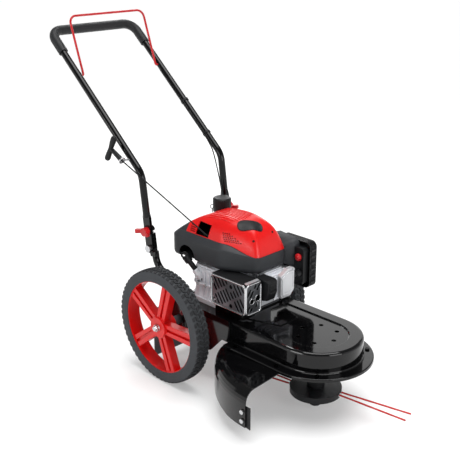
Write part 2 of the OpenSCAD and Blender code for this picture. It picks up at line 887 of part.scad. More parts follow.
module frame_bolts() {
  color("silver") {
    for (p = flange_bolt_at)
      translate([p.x, p.y, flange_z])
        hex_bolt(sheet_t * 3 + bolt_head_h);
    for (p = engine_bolt_at)
      translate([p.x, p.y, saddle_top_z + base_t])
        hex_bolt(base_t + sheet_t * 2 + bolt_head_h);
    for (z = knife_bolt_zs)
      translate([knife_bolt_x, -deflector_r - sheet_t, z])
        rotate([90, 0, 0])
          hex_bolt(sheet_t + overrun + knife_t * 2);
  }
}

module rear_flap() {
  notch_w = ear_t + free_gap * 4;
  color("gray")
    difference() {
      union() {
        rod([flap_rod_x, -flap_half_w, flap_rod_z], [flap_rod_x, flap_half_w, flap_rod_z], flap_knuckle_r);
        translate([flap_rod_x - flap_t / 2, -flap_half_w, flap_low_z])
          cube([flap_t, flap_half_w * 2, flap_rod_z - flap_low_z]);
      }
      rod([flap_rod_x, -flap_half_w - overrun, flap_rod_z],
        [flap_rod_x, flap_half_w + overrun, flap_rod_z], flap_rod_r + run_gap);
      both_sides()
        translate([flap_rod_x - ear_h / 2, ear_y - notch_w / 2, flap_rod_z - ear_h])
          cube([ear_h, notch_w, ear_h * 2]);
    }
}

housing_top_z = plate_top_z + sheet_t;
housing_low_z = housing_top_z - housing_len;

module spindle_housing() {
  seat = bearing_w + bearing_inset;
  color("gray")
    difference() {
      union() {
        translate([0, 0, housing_low_z])
          cylinder(h = housing_len, r = boss_r);
        translate([0, 0, plate_low_z - housing_flange_t])
          cylinder(h = housing_flange_t, r = housing_flange_r);
      }
      translate([0, 0, housing_low_z - overrun])
        cylinder(h = housing_len + overrun * 2, r = bearing_out_r - bearing_lip);
      translate([0, 0, housing_top_z - seat])
        cylinder(h = seat + overrun, r = bearing_out_r);
      translate([0, 0, housing_low_z - overrun])
        cylinder(h = seat + overrun, r = bearing_out_r);
      drill(spindle_bolt_at, plate_low_z - housing_flange_t - overrun, plate_low_z + overrun, bolt_r);
    }
}

module spindle_bearings() {
  color("silver")
    for (z = [housing_low_z + bearing_inset, housing_top_z - bearing_inset - bearing_w])
      translate([0, 0, z])
        difference() {
          cylinder(h = bearing_w, r = bearing_out_r);
          translate([0, 0, -overrun])
            cylinder(h = bearing_w + overrun * 2, r = spindle_r + run_gap);
        }
}

module spindle_bolts() {
  color("silver")
    for (p = spindle_bolt_at)
      translate([p.x, p.y, plate_top_z])
        hex_bolt(sheet_t + housing_flange_t + bolt_head_h);
}

module spindle_shaft() {
  color("silver")
    rod([0, 0, spindle_low_z], [0, 0, spindle_top_z], spindle_r);
}

module pulley(groove_r, bore_r) {
  half = belt_w / 2 + free_gap + pulley_lip_t;
  color("gray")
    translate([0, 0, pulley_mid_z])
      rotate_extrude()
        polygon([[bore_r, -half], [groove_r + pulley_lip, -half], [groove_r + pulley_lip, pulley_lip_t - half],
          [groove_r, pulley_lip_t - half], [groove_r, half - pulley_lip_t],
          [groove_r + pulley_lip, half - pulley_lip_t], [groove_r + pulley_lip, half], [bore_r, half]]);
}

module driven_pulley() pulley(driven_pulley_r, spindle_r);

module drive_pulley() {
  translate([crank_x, 0, 0])
    pulley(drive_pulley_r, crank_r);
}

// Loop round both pulleys, at a height over their grooves
function belt_loop(over) =
  let (r1 = drive_pulley_r + over, r2 = driven_pulley_r + over, a = acos((r1 - r2) / shaft_gap), b = 180 - a)
  concat([for (k = [0 : belt_steps]) let (t = a + 2 * b * k / belt_steps) [crank_x + r1 * cos(t), r1 * sin(t)]],
    [for (k = [0 : belt_steps]) let (t = 2 * a * k / belt_steps - a) r2 * [cos(t), sin(t)]]);

module drive_belt() {
  color("black")
    translate([0, 0, pulley_mid_z - belt_w / 2])
      linear_extrude(belt_w)
        difference() {
          polygon(belt_loop(belt_t + free_gap));
          polygon(belt_loop(free_gap));
        }
}

// Height of the crankshaft's lower web over the engine's base
web_z = base_t + crank_web_t * 2;

module crankshaft() {
  web_top = web_z + crank_web_t * 2 + crank_pin_h;
  foot_z = pulley_mid_z - belt_w / 2 - free_gap - pulley_lip_t - saddle_top_z;
  color("silver")
    engine_place() {
      translate([0, 0, foot_z])
        cylinder(h = web_z - foot_z, r = crank_r);
      translate([0, 0, web_z])
        cylinder(h = crank_web_t, r = crank_web_r);
      translate([crank_throw, 0, web_z + crank_web_t])
        cylinder(h = crank_pin_h, r = crank_pin_r);
      translate([0, 0, web_top - crank_web_t])
        cylinder(h = crank_web_t, r = crank_web_r);
      translate([0, 0, web_top])
        cylinder(h = crank_top - web_top, r = crank_r);
    }
}

module flywheel() {
  color("silver")
    engine_place()
      translate([0, 0, flywheel_z])
        difference() {
          union() {
            cylinder(h = flywheel_h, r = flywheel_r);
            for (i = [0 : vane_n - 1])
              rotate([0, 0, 360 * i / vane_n])
                translate([flywheel_r - vane_l - vane_t, -vane_t / 2, flywheel_h - overrun])
                  cube([vane_l, vane_t, vane_h + overrun]);
          }
          translate([0, 0, -overrun])
            cylinder(h = flywheel_h + overrun * 2, r = crank_r);
        }
}

module starter_reel() {
  half = reel_h / 2;
  color("dimgray")
    engine_place()
      translate([0, 0, reel_z + half])
        rotate_extrude()
          polygon([[reel_post_r + run_gap, -half], [reel_r, -half], [reel_r, reel_lip_t - half],
            [reel_groove_r, reel_lip_t - half], [reel_groove_r, half - reel_lip_t],
            [reel_r, half - reel_lip_t], [reel_r, half], [reel_post_r + run_gap, half]]);
}

// Root and tip of each cutting line: two leave each side of the head
line_ends = [for (s = [0, 180], i = [0 : len(line_root_angles) - 1])
  [head_r * [cos(line_root_angles[i] + s), sin(line_root_angles[i] + s)],
    line_reach * [cos(line_tip_angles[i] + s), sin(line_tip_angles[i] + s)]]];

module line_rod(e, from, to, r) {
  d = unit(e[1] - e[0]);
  a = e[0] + d * from;
  b = e[0] + d * to;
  rod([a.x, a.y, head_z], [b.x, b.y, head_z], r);
}

head_top_z = head_z + head_rim_h / 2;

module trimmer_head() {
  color("black")
    difference() {
      rotate_extrude()
        polygon([[0, head_floor_z], [head_floor_r, head_floor_z], [head_r, head_z - head_rim_h / 2],
          [head_r, head_top_z], [head_hub_r, head_top_z + eyelet_out],
          [head_hub_r, head_top_z + head_hub_h], [0, head_top_z + head_hub_h]]);
      drill([[0, 0]], spindle_low_z, head_top_z + head_hub_h + overrun, spindle_r);
      drill([[0, 0]], head_floor_z - overrun, head_floor_z + knob_stud_len, knob_stud_r);
      for (e = line_ends) {
        line_rod(e, -eyelet_w, eyelet_w * 2, eyelet_r);
        line_rod(e, -line_root_in, 0, line_r);
      }
    }
}

module line_eyelets() {
  color("silver")
    for (e = line_ends)
      difference() {
        line_rod(e, -eyelet_w, eyelet_out, eyelet_r);
        line_rod(e, -eyelet_w - overrun, eyelet_out + overrun, line_r);
      }
}

module cutting_lines() {
  color("red")
    for (e = line_ends)
      line_rod(e, -line_root_in, norm(e[1] - e[0]), line_r);
}

module glide_knob() {
  slope = knob_r - knob_foot_r;
  color("black")
    rotate_extrude()
      polygon([[0, 0], [knob_foot_r, 0], [knob_r, slope], [knob_r, head_floor_z - slope * 2],
        [knob_r + slope, head_floor_z], [knob_stud_r, head_floor_z],
        [knob_stud_r, head_floor_z + knob_stud_len], [0, head_floor_z + knob_stud_len]]);
}

// Box between two corners, with rounded upright edges when a radius is given
module block(a, b, r = 0) {
  translate([0, 0, a.z])
    linear_extrude(b.z - a.z)
      polygon(r > 0 ? rounded(rect(a.x, a.y, b.x, b.y), same(r, 4)) : rect(a.x, a.y, b.x, b.y));
}

stick_dir = [sin(stick_lean) * cos(stick_turn), sin(stick_lean) * sin(stick_turn), cos(stick_lean)];
stick_top = stick_foot + stick_tube_len * stick_dir;
barrel_end = case_front + barrel_len;
case_top = case_h - collar_h;
cavity_r = crank_web_r + case_wall;

module engine_block() {
  base_w = case_half_w + base_out;
  color("silver")
    difference() {
      engine_place()
        difference() {
          union() {
            block([-case_back - base_out, -base_w, 0], [case_front + base_out, base_w, base_t],
              case_corner_r / 2);
            block([-case_back, -case_half_w, 0], [case_front, case_half_w, case_top], case_corner_r);
            translate([0, 0, case_top])
              cylinder(h = collar_h, r = collar_r);
            translate([0, barrel_y - barrel_half_w, barrel_z - barrel_half_h])
              cube([barrel_end, barrel_half_w * 2, barrel_half_h * 2]);
            for (i = [1 : fin_n])
              translate([case_front + barrel_len * i / fin_n - fin_t, barrel_y - barrel_half_w - fin_out,
                barrel_z - barrel_half_h - fin_out])
                cube([fin_t, (barrel_half_w + fin_out) * 2, (barrel_half_h + fin_out) * 2]);
          }
          translate([0, 0, -overrun])
            cylinder(h = case_h + overrun * 2, r = crank_r + run_gap);
          translate([0, 0, base_t])
            cylinder(h = case_top - case_wall - base_t, r = cavity_r);
          rod([0, barrel_y, barrel_z], [barrel_end + overrun, barrel_y, barrel_z], barrel_bore_r);
          rod(stick_foot - stick_dir * stick_tube_r, stick_top, stick_tube_r);
          block([guard_x - free_gap, guard_y, guard_z - free_gap],
            [case_front + overrun, guard_y + guard_w + free_gap, case_h + overrun]);
        }
      drill(engine_bolt_at, saddle_top_z - overrun, saddle_top_z + base_t + overrun, bolt_r);
    }
}

module cylinder_head() {
  w = barrel_half_w + fin_out;
  h = barrel_half_h + fin_out;
  color("silver")
    engine_place()
      difference() {
        union() {
          translate([barrel_end, barrel_y - barrel_half_w, barrel_z - barrel_half_h])
            cube([head_t, barrel_half_w * 2, barrel_half_h * 2]);
          for (i = [0 : 1])
            translate([barrel_end + head_t * i / 2, barrel_y - w, barrel_z - h])
              cube([fin_t, w * 2, h * 2]);
        }
        rod([barrel_end + head_t / 2 + fin_t / 2 - plug_r / 2, barrel_y, barrel_z + barrel_half_h / 2],
          [barrel_end + head_t / 2 + fin_t / 2 - plug_r / 2, barrel_y + w + overrun,
          barrel_z + barrel_half_h / 2], plug_r / 2);
      }
}

// The valve cover's face is a box with two opposite corners cut off
module valve_cover() {
  cut = valve_half_w * valve_cut_share;
  w = valve_half_w;
  h = valve_half_h;
  color("silver")
    engine_place()
      translate([barrel_end + head_t, barrel_y, barrel_z + valve_up])
        rotate([90, 0, 90])
          linear_extrude(valve_t)
            polygon(rounded([[-w, -h], [w - cut, -h], [w, cut - h], [w, h], [cut * 2 - w, h], [-w, h - cut]],
              same(valve_corner_r, 6)));
}

module head_baffle() {
  y1 = barrel_y - barrel_half_w - fin_out - free_gap;
  z0 = barrel_z - baffle_h / 2 - fin_out;
  color("black")
    engine_place()
      upright(y1 - baffle_w, baffle_w)
        polygon(rounded([for (s = baffle_shares) [baffle_x + baffle_l * s.x, z0 + baffle_h * s.y]],
          same(baffle_r, len(baffle_shares))));
}

module spark_plug() {
  at = [barrel_end + head_t / 2 + fin_t / 2 - plug_r / 2, barrel_y, barrel_z + barrel_half_h / 2];
  y1 = barrel_half_w + fin_out;
  side = [0, 1, 0];
  color("black")
    engine_place() {
      rod(at + side * barrel_bore_r, at + side * y1, plug_r / 2);
      rod(at + side * y1, at + side * (y1 + plug_len), plug_r);
      rod(at + side * (y1 + plug_len), at + side * (y1 + plug_len + plug_boot_len), plug_boot_r);
    }
}

module muffler() {
  y1 = barrel_y - barrel_half_w - fin_out;
  x = guard_x + guard_l - muffler_gap * 7;
  color("gray")
    engine_place() {
      block([guard_x + muffler_gap, guard_y + muffler_gap, guard_z + muffler_gap],
        [guard_x + guard_l - muffler_gap, guard_y + guard_w, guard_z + guard_h - muffler_gap], guard_corner_r);
      rod([x, guard_y + guard_w - overrun, barrel_z], [x, y1, barrel_z], pipe_r);
    }
}

// Slots of one face of the guard, drawn in the plane of the face over its length and height
module slot_rows(l) {
  n = floor(l / (guard_l * slot_pitch_share)) - 1;
  for (row = [0 : slot_rows - 1], i = [0 : n - 1])
    translate([l * (i + 1) / (n + 1), guard_h * (row + 1 / 2) / slot_rows])
      rotate(-slot_lean)
        square([slot_w, guard_h * slot_h_share], center = true);
}

// Perforated sheet box over the muffler, open towards the cylinder, with its feet on the muffler
module muffler_guard() {
  a = [guard_x, guard_y, guard_z];
  b = [guard_x + guard_l, guard_y + guard_w, guard_z + guard_h];
  wall = [guard_t, guard_t, guard_t];
  color("silver")
    engine_place()
      difference() {
        block(a, b, guard_corner_r);
        difference() {
          block(a + wall, [b.x - guard_t, b.y + overrun, b.z - guard_t], guard_corner_r - guard_t);
          for (x = [guard_x + muffler_gap * 2, guard_x + guard_l - muffler_gap * 3])
            block([x, guard_y, guard_z + guard_h / 3], [x + muffler_gap, guard_y + muffler_gap,
              guard_z + guard_h * 2 / 3]);
        }
        translate([guard_x, guard_y + guard_t + overrun, guard_z])
          rotate([90, 0, 0])
            linear_extrude(guard_t + overrun * 2)
              slot_rows(guard_l);
        translate([guard_x + guard_l - guard_t - overrun, guard_y, guard_z])
          rotate([90, 0, 90])
            linear_extrude(guard_t + overrun * 2)
              slot_rows(guard_w);
      }
}

// Blower housing: outline seen from above, then shares of the way from the straight side to the nose
cowl_pts = [[-cowl_back, -cowl_half_w], [cowl_knee_x, -cowl_half_w], [cowl_front, barrel_y - cowl_nose_half],
  [cowl_front, barrel_y + cowl_nose_half], [cowl_knee_x, cowl_half_w], [-cowl_back, cowl_half_w]];

function nose(x) =
  let (u = max(0, min(1, (x - cowl_knee_x) / (cowl_front - cowl_knee_x))))
  u * u * (3 - 2 * u);
function cowl_ring(e) = rounded(cowl_pts, cowl_corner_rs, e);
function rim_ring(e) =
  let (a = cowl_ring(e), b = cowl_ring(cowl_ledge_in + e))
  [for (i = [0 : len(a) - 1]) let (q = nose(a[i].x) * nose_out_share) a[i] * q + b[i] * (1 - q)];
function wall_z(x) = case_h + cowl_wall_h - wall_dip * nose(x);
function rim_z(x) = case_h + cowl_wall_h + cowl_ledge_h - rim_dip * nose(x);
function crest_z(x) =
  case_h + cowl_wall_h + cover_h - cover_dip * (x - crest_x) * (x - crest_x) / (cover_dip_len * cover_dip_len);
// One ring of the dome: its size as a share of the rim, set in by e and lowered by e;
// the rings turn from the rim's outline into an oval towards the top
function dome_ring(k, e) =
  let (w = pow(k, cover_round), b = pow(1 - k, cover_blend))
  [for (p = rim_ring(e)) let (d = p - cover_mid, u = unit(d), o = [u.x * cover_oval.x, u.y * cover_oval.y],
    q = cover_mid + (d * (1 - b) + o * b) * k)
    [q.x, q.y, rim_z(p.x) * w + crest_z(q.x) * (1 - w) - e]];
function lifted(ring, up) = [for (p = ring) [p.x, p.y, p.z + up]];

module dome() {
  ks = [for (i = [0 : cover_rings]) cos(88 * i / cover_rings)];
  difference() {
    skin([for (k = ks) dome_ring(k, 0)]);
    skin(concat([lifted(dome_ring(1, cowl_t), -overrun)], [for (k = ks) dome_ring(k, cowl_t)]));
  }
}

// Everything behind, or in front of, the seam between the housing and the red cover
module seam_side(back) {
  x0 = back ? -cowl_back - overrun : -cover_back + free_gap;
  x1 = back ? -cover_back : cowl_front + cowl_back;
  block([x0, -cowl_half_w - overrun, case_h], [x1, cowl_half_w + overrun, case_h * 3]);
}

module cap_hole() {
  translate([cap_x, cap_y, case_h + cowl_wall_h / 2])
    cylinder(h = cap_z, r = neck_r + free_gap);
  translate([cap_x, cap_y, cap_z - free_gap])
    cylinder(h = cap_h, r = cap_r + cap_ridge_r + free_gap);
}

module rope_window() {
  block([window_x, -cowl_half_w - overrun, rim_z(0) + free_gap],
    [window_x + window_l, window_w - cowl_half_w, rim_z(0) + window_h], cowl_t);
}

module engine_cowl() {
  color("dimgray")
    engine_place()
      difference() {
        union() {
          difference() {
            skin([[for (p = cowl_ring(0)) [p.x, p.y, case_h]],
              [for (p = cowl_ring(0)) [p.x, p.y, wall_z(p.x)]],
              [for (p = rim_ring(0)) [p.x, p.y, rim_z(p.x)]]]);
            skin([[for (p = cowl_ring(cowl_t)) [p.x, p.y, case_h + cowl_t]],
              [for (p = cowl_ring(cowl_t)) [p.x, p.y, wall_z(p.x) - cowl_t / 2]],
              [for (p = rim_ring(cowl_t)) [p.x, p.y, rim_z(p.x)]],
              [for (p = rim_ring(cowl_t)) [p.x, p.y, case_h + cowl_wall_h + cover_h]]]);
          }
          intersection() {
            dome();
            seam_side(true);
          }
        }
        translate([0, 0, case_h - overrun])
          cylinder(h = cowl_t + overrun * 2, r = cowl_hole_r);
        rod([arch_x, -cowl_half_w - overrun, case_h + arch_up],
          [arch_x, arch_depth - cowl_half_w, case_h + arch_up], arch_r);
        cap_hole();
        rope_window();
      }
}

module top_cover() {
  post_top = crest_z(0) - cowl_t;
  color("red")
    engine_place()
      union() {
        difference() {
          intersection() {
            dome();
            seam_side(false);
          }
          cap_hole();
          rope_window();
        }
        translate([0, 0, reel_z - reel_lip_t])
          cylinder(h = post_top - reel_z + reel_lip_t, r = reel_post_r);
      }
}

module fuel_tank() {
  x0 = -cowl_back + cowl_t * 2;
  z0 = case_h + cowl_t;
  color("dimgray")
    engine_place()
      difference() {
        union() {
          block([x0, tank_y - tank_w / 2, z0], [x0 + tank_l, tank_y + tank_w / 2, z0 + tank_h], case_corner_r);
          translate([cap_x, cap_y, z0])
            cylinder(h = cap_z + cap_seat - z0 - free_gap, r = neck_r);
        }
        block([x0 + cowl_t, tank_y - tank_w / 2 + cowl_t, z0 + cowl_t],
          [x0 + tank_l - cowl_t, tank_y + tank_w / 2 - cowl_t, z0 + tank_h - cowl_t], case_corner_r - cowl_t);
        translate([cap_x, cap_y, z0 + tank_h / 2])
          cylinder(h = cap_z, r = neck_r - cowl_t);
      }
}

module fuel_cap() {
  color("black")
    engine_place()
      translate([cap_x, cap_y, cap_z])
        difference() {
          union() {
            cylinder(h = cap_h - cap_ridge_r * 2, r = cap_r);
            translate([0, 0, cap_h - cap_ridge_r * 2])
              cylinder(h = cap_ridge_r * 2, r1 = cap_r, r2 = cap_r - cap_ridge_r * 2);
          }
          translate([0, 0, -overrun])
            cylinder(h = cap_seat + overrun, r = neck_r + free_gap);
          for (i = [0 : cap_ridge_n - 1])
            rotate([0, 0, 360 * i / cap_ridge_n])
              translate([cap_r + cap_ridge_r / 2, 0, cap_seat])
                cylinder(h = cap_h, r = cap_ridge_r);
        }
}

module dipstick_tube() {
  color("black")
    engine_place()
      difference() {
        rod(stick_foot, stick_top, stick_tube_r);
        rod(stick_foot - stick_dir * overrun, stick_top + stick_dir * overrun, stick_tube_r - stick_tube_wall);
      }
}

module dipstick() {
  color("black")
    engine_place() {
      rod(stick_foot + stick_dir * stick_tube_r, stick_top + stick_dir * stick_cap_h / 2, stick_r);
      rod(stick_top + stick_dir * free_gap, stick_top + stick_dir * stick_cap_h, stick_cap_r);
    }
}

// Air cleaner on the far side: carburettor, base plate, element and cover, all set along Y
base_y = filter_y - filter_base_t;
base_x = filter_x + filter_wall * 2;
base_l = filter_l - filter_wall * 5;
base_z = filter_z + filter_wall * 5;
base_h = filter_h - filter_wall * 10;

module carburettor() {
  y0 = barrel_y + barrel_half_w + fin_out;
  x = case_front + barrel_len / 2;
  color("gray")
    engine_place()
      difference() {
        block([x - carb_l / 2, y0, barrel_z - carb_h / 2], [x + carb_l / 2, base_y, barrel_z + carb_h / 2]);
        rod([x, y0 - overrun, barrel_z], [x, base_y + overrun, barrel_z], carb_throat_r);
      }
}

module air_filter_base() {
  x = case_front + barrel_len / 2;
  color("dimgray")
    engine_place()
      difference() {
        upright(base_y, filter_base_t + filter_wall)
          polygon(rounded(rect(base_x, base_z, base_x + base_l, base_z + base_h),
            same(filter_corner_r / 2, 4)));
        rod([x, base_y - overrun, barrel_z], [x, filter_y + filter_wall + overrun, barrel_z], carb_throat_r);
        rod([bulb_x, base_y - overrun, bulb_z], [bulb_x, base_y + bulb_travel * 2, bulb_z], bulb_r + free_gap);
      }
}

module air_filter_cover() {
  out = rect(filter_x, filter_z, filter_x + filter_l, filter_z + filter_h);
  color("black")
    engine_place()
      difference() {
        upright(filter_y, filter_w)
          polygon(rounded(out, same(filter_corner_r, 4)));
        upright(filter_y - overrun, filter_w - filter_wall + overrun)
          polygon(rounded(out, same(filter_corner_r, 4), filter_wall));
        for (i = [1 : filter_rib_n])
          difference() {
            upright(filter_y + filter_w * i / (filter_rib_n + 1) - filter_rib_w / 2, filter_rib_w)
              polygon(rounded(out, same(filter_corner_r, 4), -overrun));
            upright(filter_y, filter_w)
              polygon(rounded(out, same(filter_corner_r, 4), filter_rib_d));
          }
      }
}

module filter_element() {
  color("white")
    engine_place()
      upright(filter_y + filter_wall, filter_w - filter_wall * 2)
        polygon(rounded(rect(base_x + filter_wall, base_z + filter_wall, base_x + base_l - filter_wall,
          base_z + base_h - filter_wall), same(filter_wall, 4)));
}

module primer_bulb() {
  foot_y = base_y + bulb_travel - free_gap;
  color("red")
    engine_place()
      translate([bulb_x, foot_y, bulb_z])
        rotate([90, 0, 0])
          rotate_extrude()
            polygon(concat([[0, 0], [bulb_r, 0]],
              [for (a = [0 : 15 : 90]) [bulb_r * cos(a), bulb_h + bulb_r * sin(a) * bulb_dome_share]]));
}

// Stamped handle ends: outlines in the XZ plane, drawn with the leg upright and the pivot at the middle
module at_pivot() {
  translate(pivot)
    rotate(leg_low_lean)
      children();
}

module upper_flat() {
  at_pivot() {
    circle(r = flat_half_w);
    polygon([[-flat_half_w, 0], [flat_half_w, 0], [flat_half_w, flat_tube_from], [tube_r, flat_top],
      [-tube_r, flat_top], [-flat_half_w, flat_tube_from]]);
  }
}

module lower_flat() {
  foot = lower_flat_drop * 2;
  at_pivot() {
    translate([0, lower_flat_top - flat_half_w])
      circle(r = flat_half_w);
    polygon([[-flat_half_w, 0], [-tube_r, -foot], [tube_r, -foot], [flat_half_w, 0],
      [flat_half_w, lower_flat_top - flat_half_w], [-flat_half_w, lower_flat_top - flat_half_w]]);
  }
}

// The slot lets the clamp's stud swing out to the front when the handle folds
module stud_slot() {
  w = stud_r + free_gap;
  at_pivot() {
    intersection() {
      difference() {
        circle(r = stud_up + w);
        circle(r = stud_up - w);
      }
      polygon([[0, 0], [0, stud_up * 2], [stud_up * 2, stud_up * 2], [stud_up * 2, 0]]);
    }
    translate([0, stud_up])
      circle(r = w);
  }
}

module lower_handles() {
  out_y = leg_y - flat_t / 2 - free_gap;
  path = [low_foot, low_knee, pivot - low_neck * leg_dir, pivot - lower_flat_drop * leg_dir];
  color("black")
    both_sides()
      difference() {
        union() {
          bent_bar([for (p = path) at_y(p, -low_tube_y)], [0, low_bend_r, low_bend_r, 0], tube_r,
            tube_r - tube_wall);
          upright(-out_y, flat_t)
            lower_flat();
        }
        upright(-out_y - overrun, flat_t + overrun * 2) {
          stud_slot();
          translate(pivot)
            circle(r = pivot_bolt_r);
        }
        for (p = low_bolts)
          rod(at_y(p, -leg_y), at_y(p, -deck_half_w), bolt_r);
      }
}

module handle_brackets() {
  out_w = deck_half_w + sheet_t;
  d = unit(low_knee - low_foot);
  n = [d.y, -d.x] * tube_r;
  color("black")
    both_sides()
      difference() {
        upright(-out_w - bracket_t, bracket_t)
          polygon([low_foot - n, low_foot + n, low_knee + n, low_knee - n]);
        for (p = low_bolts)
          rod(at_y(p, -out_w - bracket_t - overrun), at_y(p, overrun - out_w), bolt_r);
      }
}

module handle_bolts() {
  flat_out = leg_y + flat_t / 2 + free_gap;
  nut_y = leg_y - flat_t * 3 / 2 - free_gap;
  color("silver")
    both_sides() {
      rod(at_y(pivot, -flat_out - nut_h), at_y(pivot, -flat_out), nut_r);
      rod(at_y(pivot, -flat_out), at_y(pivot, -nut_y), pivot_bolt_r);
      for (p = low_bolts) {
        rod(at_y(p, -low_tube_y - tube_r - bolt_head_h), at_y(p, -low_tube_y - tube_r), bolt_head_r);
        rod(at_y(p, -low_tube_y - tube_r), at_y(p, -deck_half_w), bolt_r);
      }
    }
}

handle_path = [at_y(pivot + flat_tube_from * leg_dir, -leg_y), at_y(bend, -leg_y), at_y(grip_at, -leg_y),
  at_y(grip_at, leg_y), at_y(bend, leg_y), at_y(pivot + flat_tube_from * leg_dir, leg_y)];
handle_bends = [0, leg_bend_r, leg_corner_r, leg_corner_r, leg_bend_r, 0];

module upper_handle() {
  stud_out = leg_y + flat_t / 2 + free_gap + stud_seat;
  stud_in = leg_y - flat_t * 3 / 2 - free_gap * 2 - stud_r;
  color("black")
    difference() {
      union() {
        bent_bar(handle_path, handle_bends, tube_r, tube_r - tube_wall);
        both_sides() {
          upright(-leg_y - flat_t / 2, flat_t)
            upper_flat();
          rod(at_y(stud_at, -stud_out), at_y(stud_at, -stud_in), stud_r);
        }
      }
      both_sides() {
        rod(at_y(pivot, -leg_y - flat_t), at_y(pivot, flat_t - leg_y), pivot_bolt_r + run_gap);
        rod(at_y(bail_at, -leg_y), at_y(bail_at, overrun + tube_r - leg_y), bail_r + run_gap);
      }
    }
}

// Foam sleeve on the crossbar and the upper ends of the legs
module handle_grip() {
  low = grip_at - grip_leg_len * arm_dir;
  path = [at_y(low, -leg_y), at_y(grip_at, -leg_y), at_y(grip_at, leg_y), at_y(low, leg_y)];
  color("dimgray")
    bent_bar(path, [0, leg_corner_r, leg_corner_r, 0], grip_r, tube_r);
}

module bail() {
  foot_y = leg_y - tube_r / 2;
  path = [at_y(bail_at, -foot_y), at_y(bail_at, -bail_half_w), at_y(bail_top, -bail_half_w),
    at_y(bail_top, bail_half_w), at_y(bail_at, bail_half_w), at_y(bail_at, foot_y)];
  color("red")
    bent_bar(path, [0, bail_foot_bend_r, bail_bend_r, bail_bend_r, bail_foot_bend_r, 0], bail_r);
}

// Wing knob drawn about Z with its wings up, then turned outwards on the leg
module clamp_knob(side) {
  out_y = leg_y + flat_t / 2 + free_gap;
  color("red")
    side_of(side)
      translate(at_y(stud_at, -out_y))
        rotate([90, 0, 0])
          difference() {
            union() {
              cylinder(h = knob_hub_l, r = knob_hub_r);
              for (turn_a = [0, 180])
                rotate([0, 0, turn_a])
                  translate([0, wing_t / 2, 0])
                    rotate([90, 0, 0])
                      linear_extrude(wing_t)
                        polygon(rounded([[0, 0], [knob_hub_r, 0], [wing_l, knob_hub_l],
                          [wing_l, knob_hub_l + wing_h], [knob_hub_r, knob_hub_l], [0, knob_hub_l]],
                          [0, 0, wing_tip_r, wing_tip_r, wing_tip_r, 0]));
            }
            translate([0, 0, -overrun])
              cylinder(h = stud_seat + free_gap + overrun, r = stud_r + run_gap);
          }
}

module right_clamp_knob() clamp_knob(-1);
module left_clamp_knob() clamp_knob(1);

guide_eye = at_y(guide_at, guide_y);
guide_leg = at_y(guide_at + guide_fore * arm_back, -leg_y);

module rope_guide() {
  arm = unit(guide_leg - guide_eye);
  color("silver") {
    translate(guide_eye)
      rotate([0, pull_rise - 90, 0])
        rotate_extrude()
          translate([eye_r, 0])
            circle(r = eye_wire_r);
    rod(guide_eye + arm * eye_r, guide_leg - arm * tube_r, eye_wire_r);
  }
}

// Pull handle drawn with its stem up and its bar across, then laid along the pull
module starter_grip() {
  ends = [for (a = [0 : 15 : 90]) [tee_r * cos(a), tee_half_len - tee_r + tee_r * sin(a)]];
  half = concat([[0, 0], [tee_waist_r, 0], [tee_r, tee_half_len / 2]], ends);
  color("black")
    translate(guide_eye)
      rotate([0, pull_rise - 90, 0]) {
        translate([0, 0, eye_wire_r + free_gap])
          cylinder(h = tee_stem_len, r1 = eye_r - overrun, r2 = tee_stem_r);
        translate([0, 0, tee_stem_len])
          rotate([0, 90, 0])
            for (m = [0, 1])
              mirror([0, 0, m])
                rotate_extrude()
                  polygon(half);
      }
}

module starter_rope() {
  color("black")
    swept(spline(rope_route, 5), rope_r, 8);
}

module brake_cable() {
  color("black")
    swept(spline(cable_route, 4), cable_r, 8);
}

module brake_cable_tail() {
  color("black")
    swept(spline(tail_route, 4), cable_r, 8);
}

// Strap round the leg and the cable, at two places along the upper leg
module cable_clips() {
  at = [for (s = clip_shares) bend + s * cable_run * arm_dir];
  color("black")
    for (p = at)
      translate(at_y(p, leg_y))
        rotate([0, -leg_up_lean, 0])
          translate([0, 0, -clip_w / 2])
            difference() {
              cylinder(h = clip_w, r = tube_r + clip_t);
              translate([0, 0, -overrun])
                cylinder(h = clip_w + overrun * 2, r = tube_r);
              translate([-cable_r * 2, -tube_r - clip_t - overrun, -overrun])
                cube([cable_r * 4, tube_r, clip_w + overrun * 2]);
            }
}

// Each node is drawn alone or with all the others
right_tyre();
left_tyre();
right_rim();
left_rim();
axle();
wheel_bushes();
axle_nuts();
chassis_frame();
deck_shell();
deck_plate();
deflector();
line_knife();
frame_bolts();
rear_flap();
spindle_housing();
spindle_bearings();
spindle_bolts();
spindle_shaft();
driven_pulley();
drive_belt();
drive_pulley();
crankshaft();
flywheel();
starter_reel();
trimmer_head();
line_eyelets();
cutting_lines();
glide_knob();
engine_block();
cylinder_head();
valve_cover();
head_baffle();
spark_plug();
muffler();
muffler_guard();
engine_cowl();
top_cover();
fuel_tank();
fuel_cap();
dipstick_tube();
dipstick();
carburettor();
air_filter_base();
air_filter_cover();
filter_element();
primer_bulb();
lower_handles();
handle_brackets();
handle_bolts();
upper_handle();
handle_grip();
bail();
right_clamp_knob();
left_clamp_knob();
rope_guide();
starter_grip();
starter_rope();
brake_cable();
brake_cable_tail();
cable_clips();
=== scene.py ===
import math

import bmesh
import bpy
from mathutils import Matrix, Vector
from mathutils.bvhtree import BVHTree


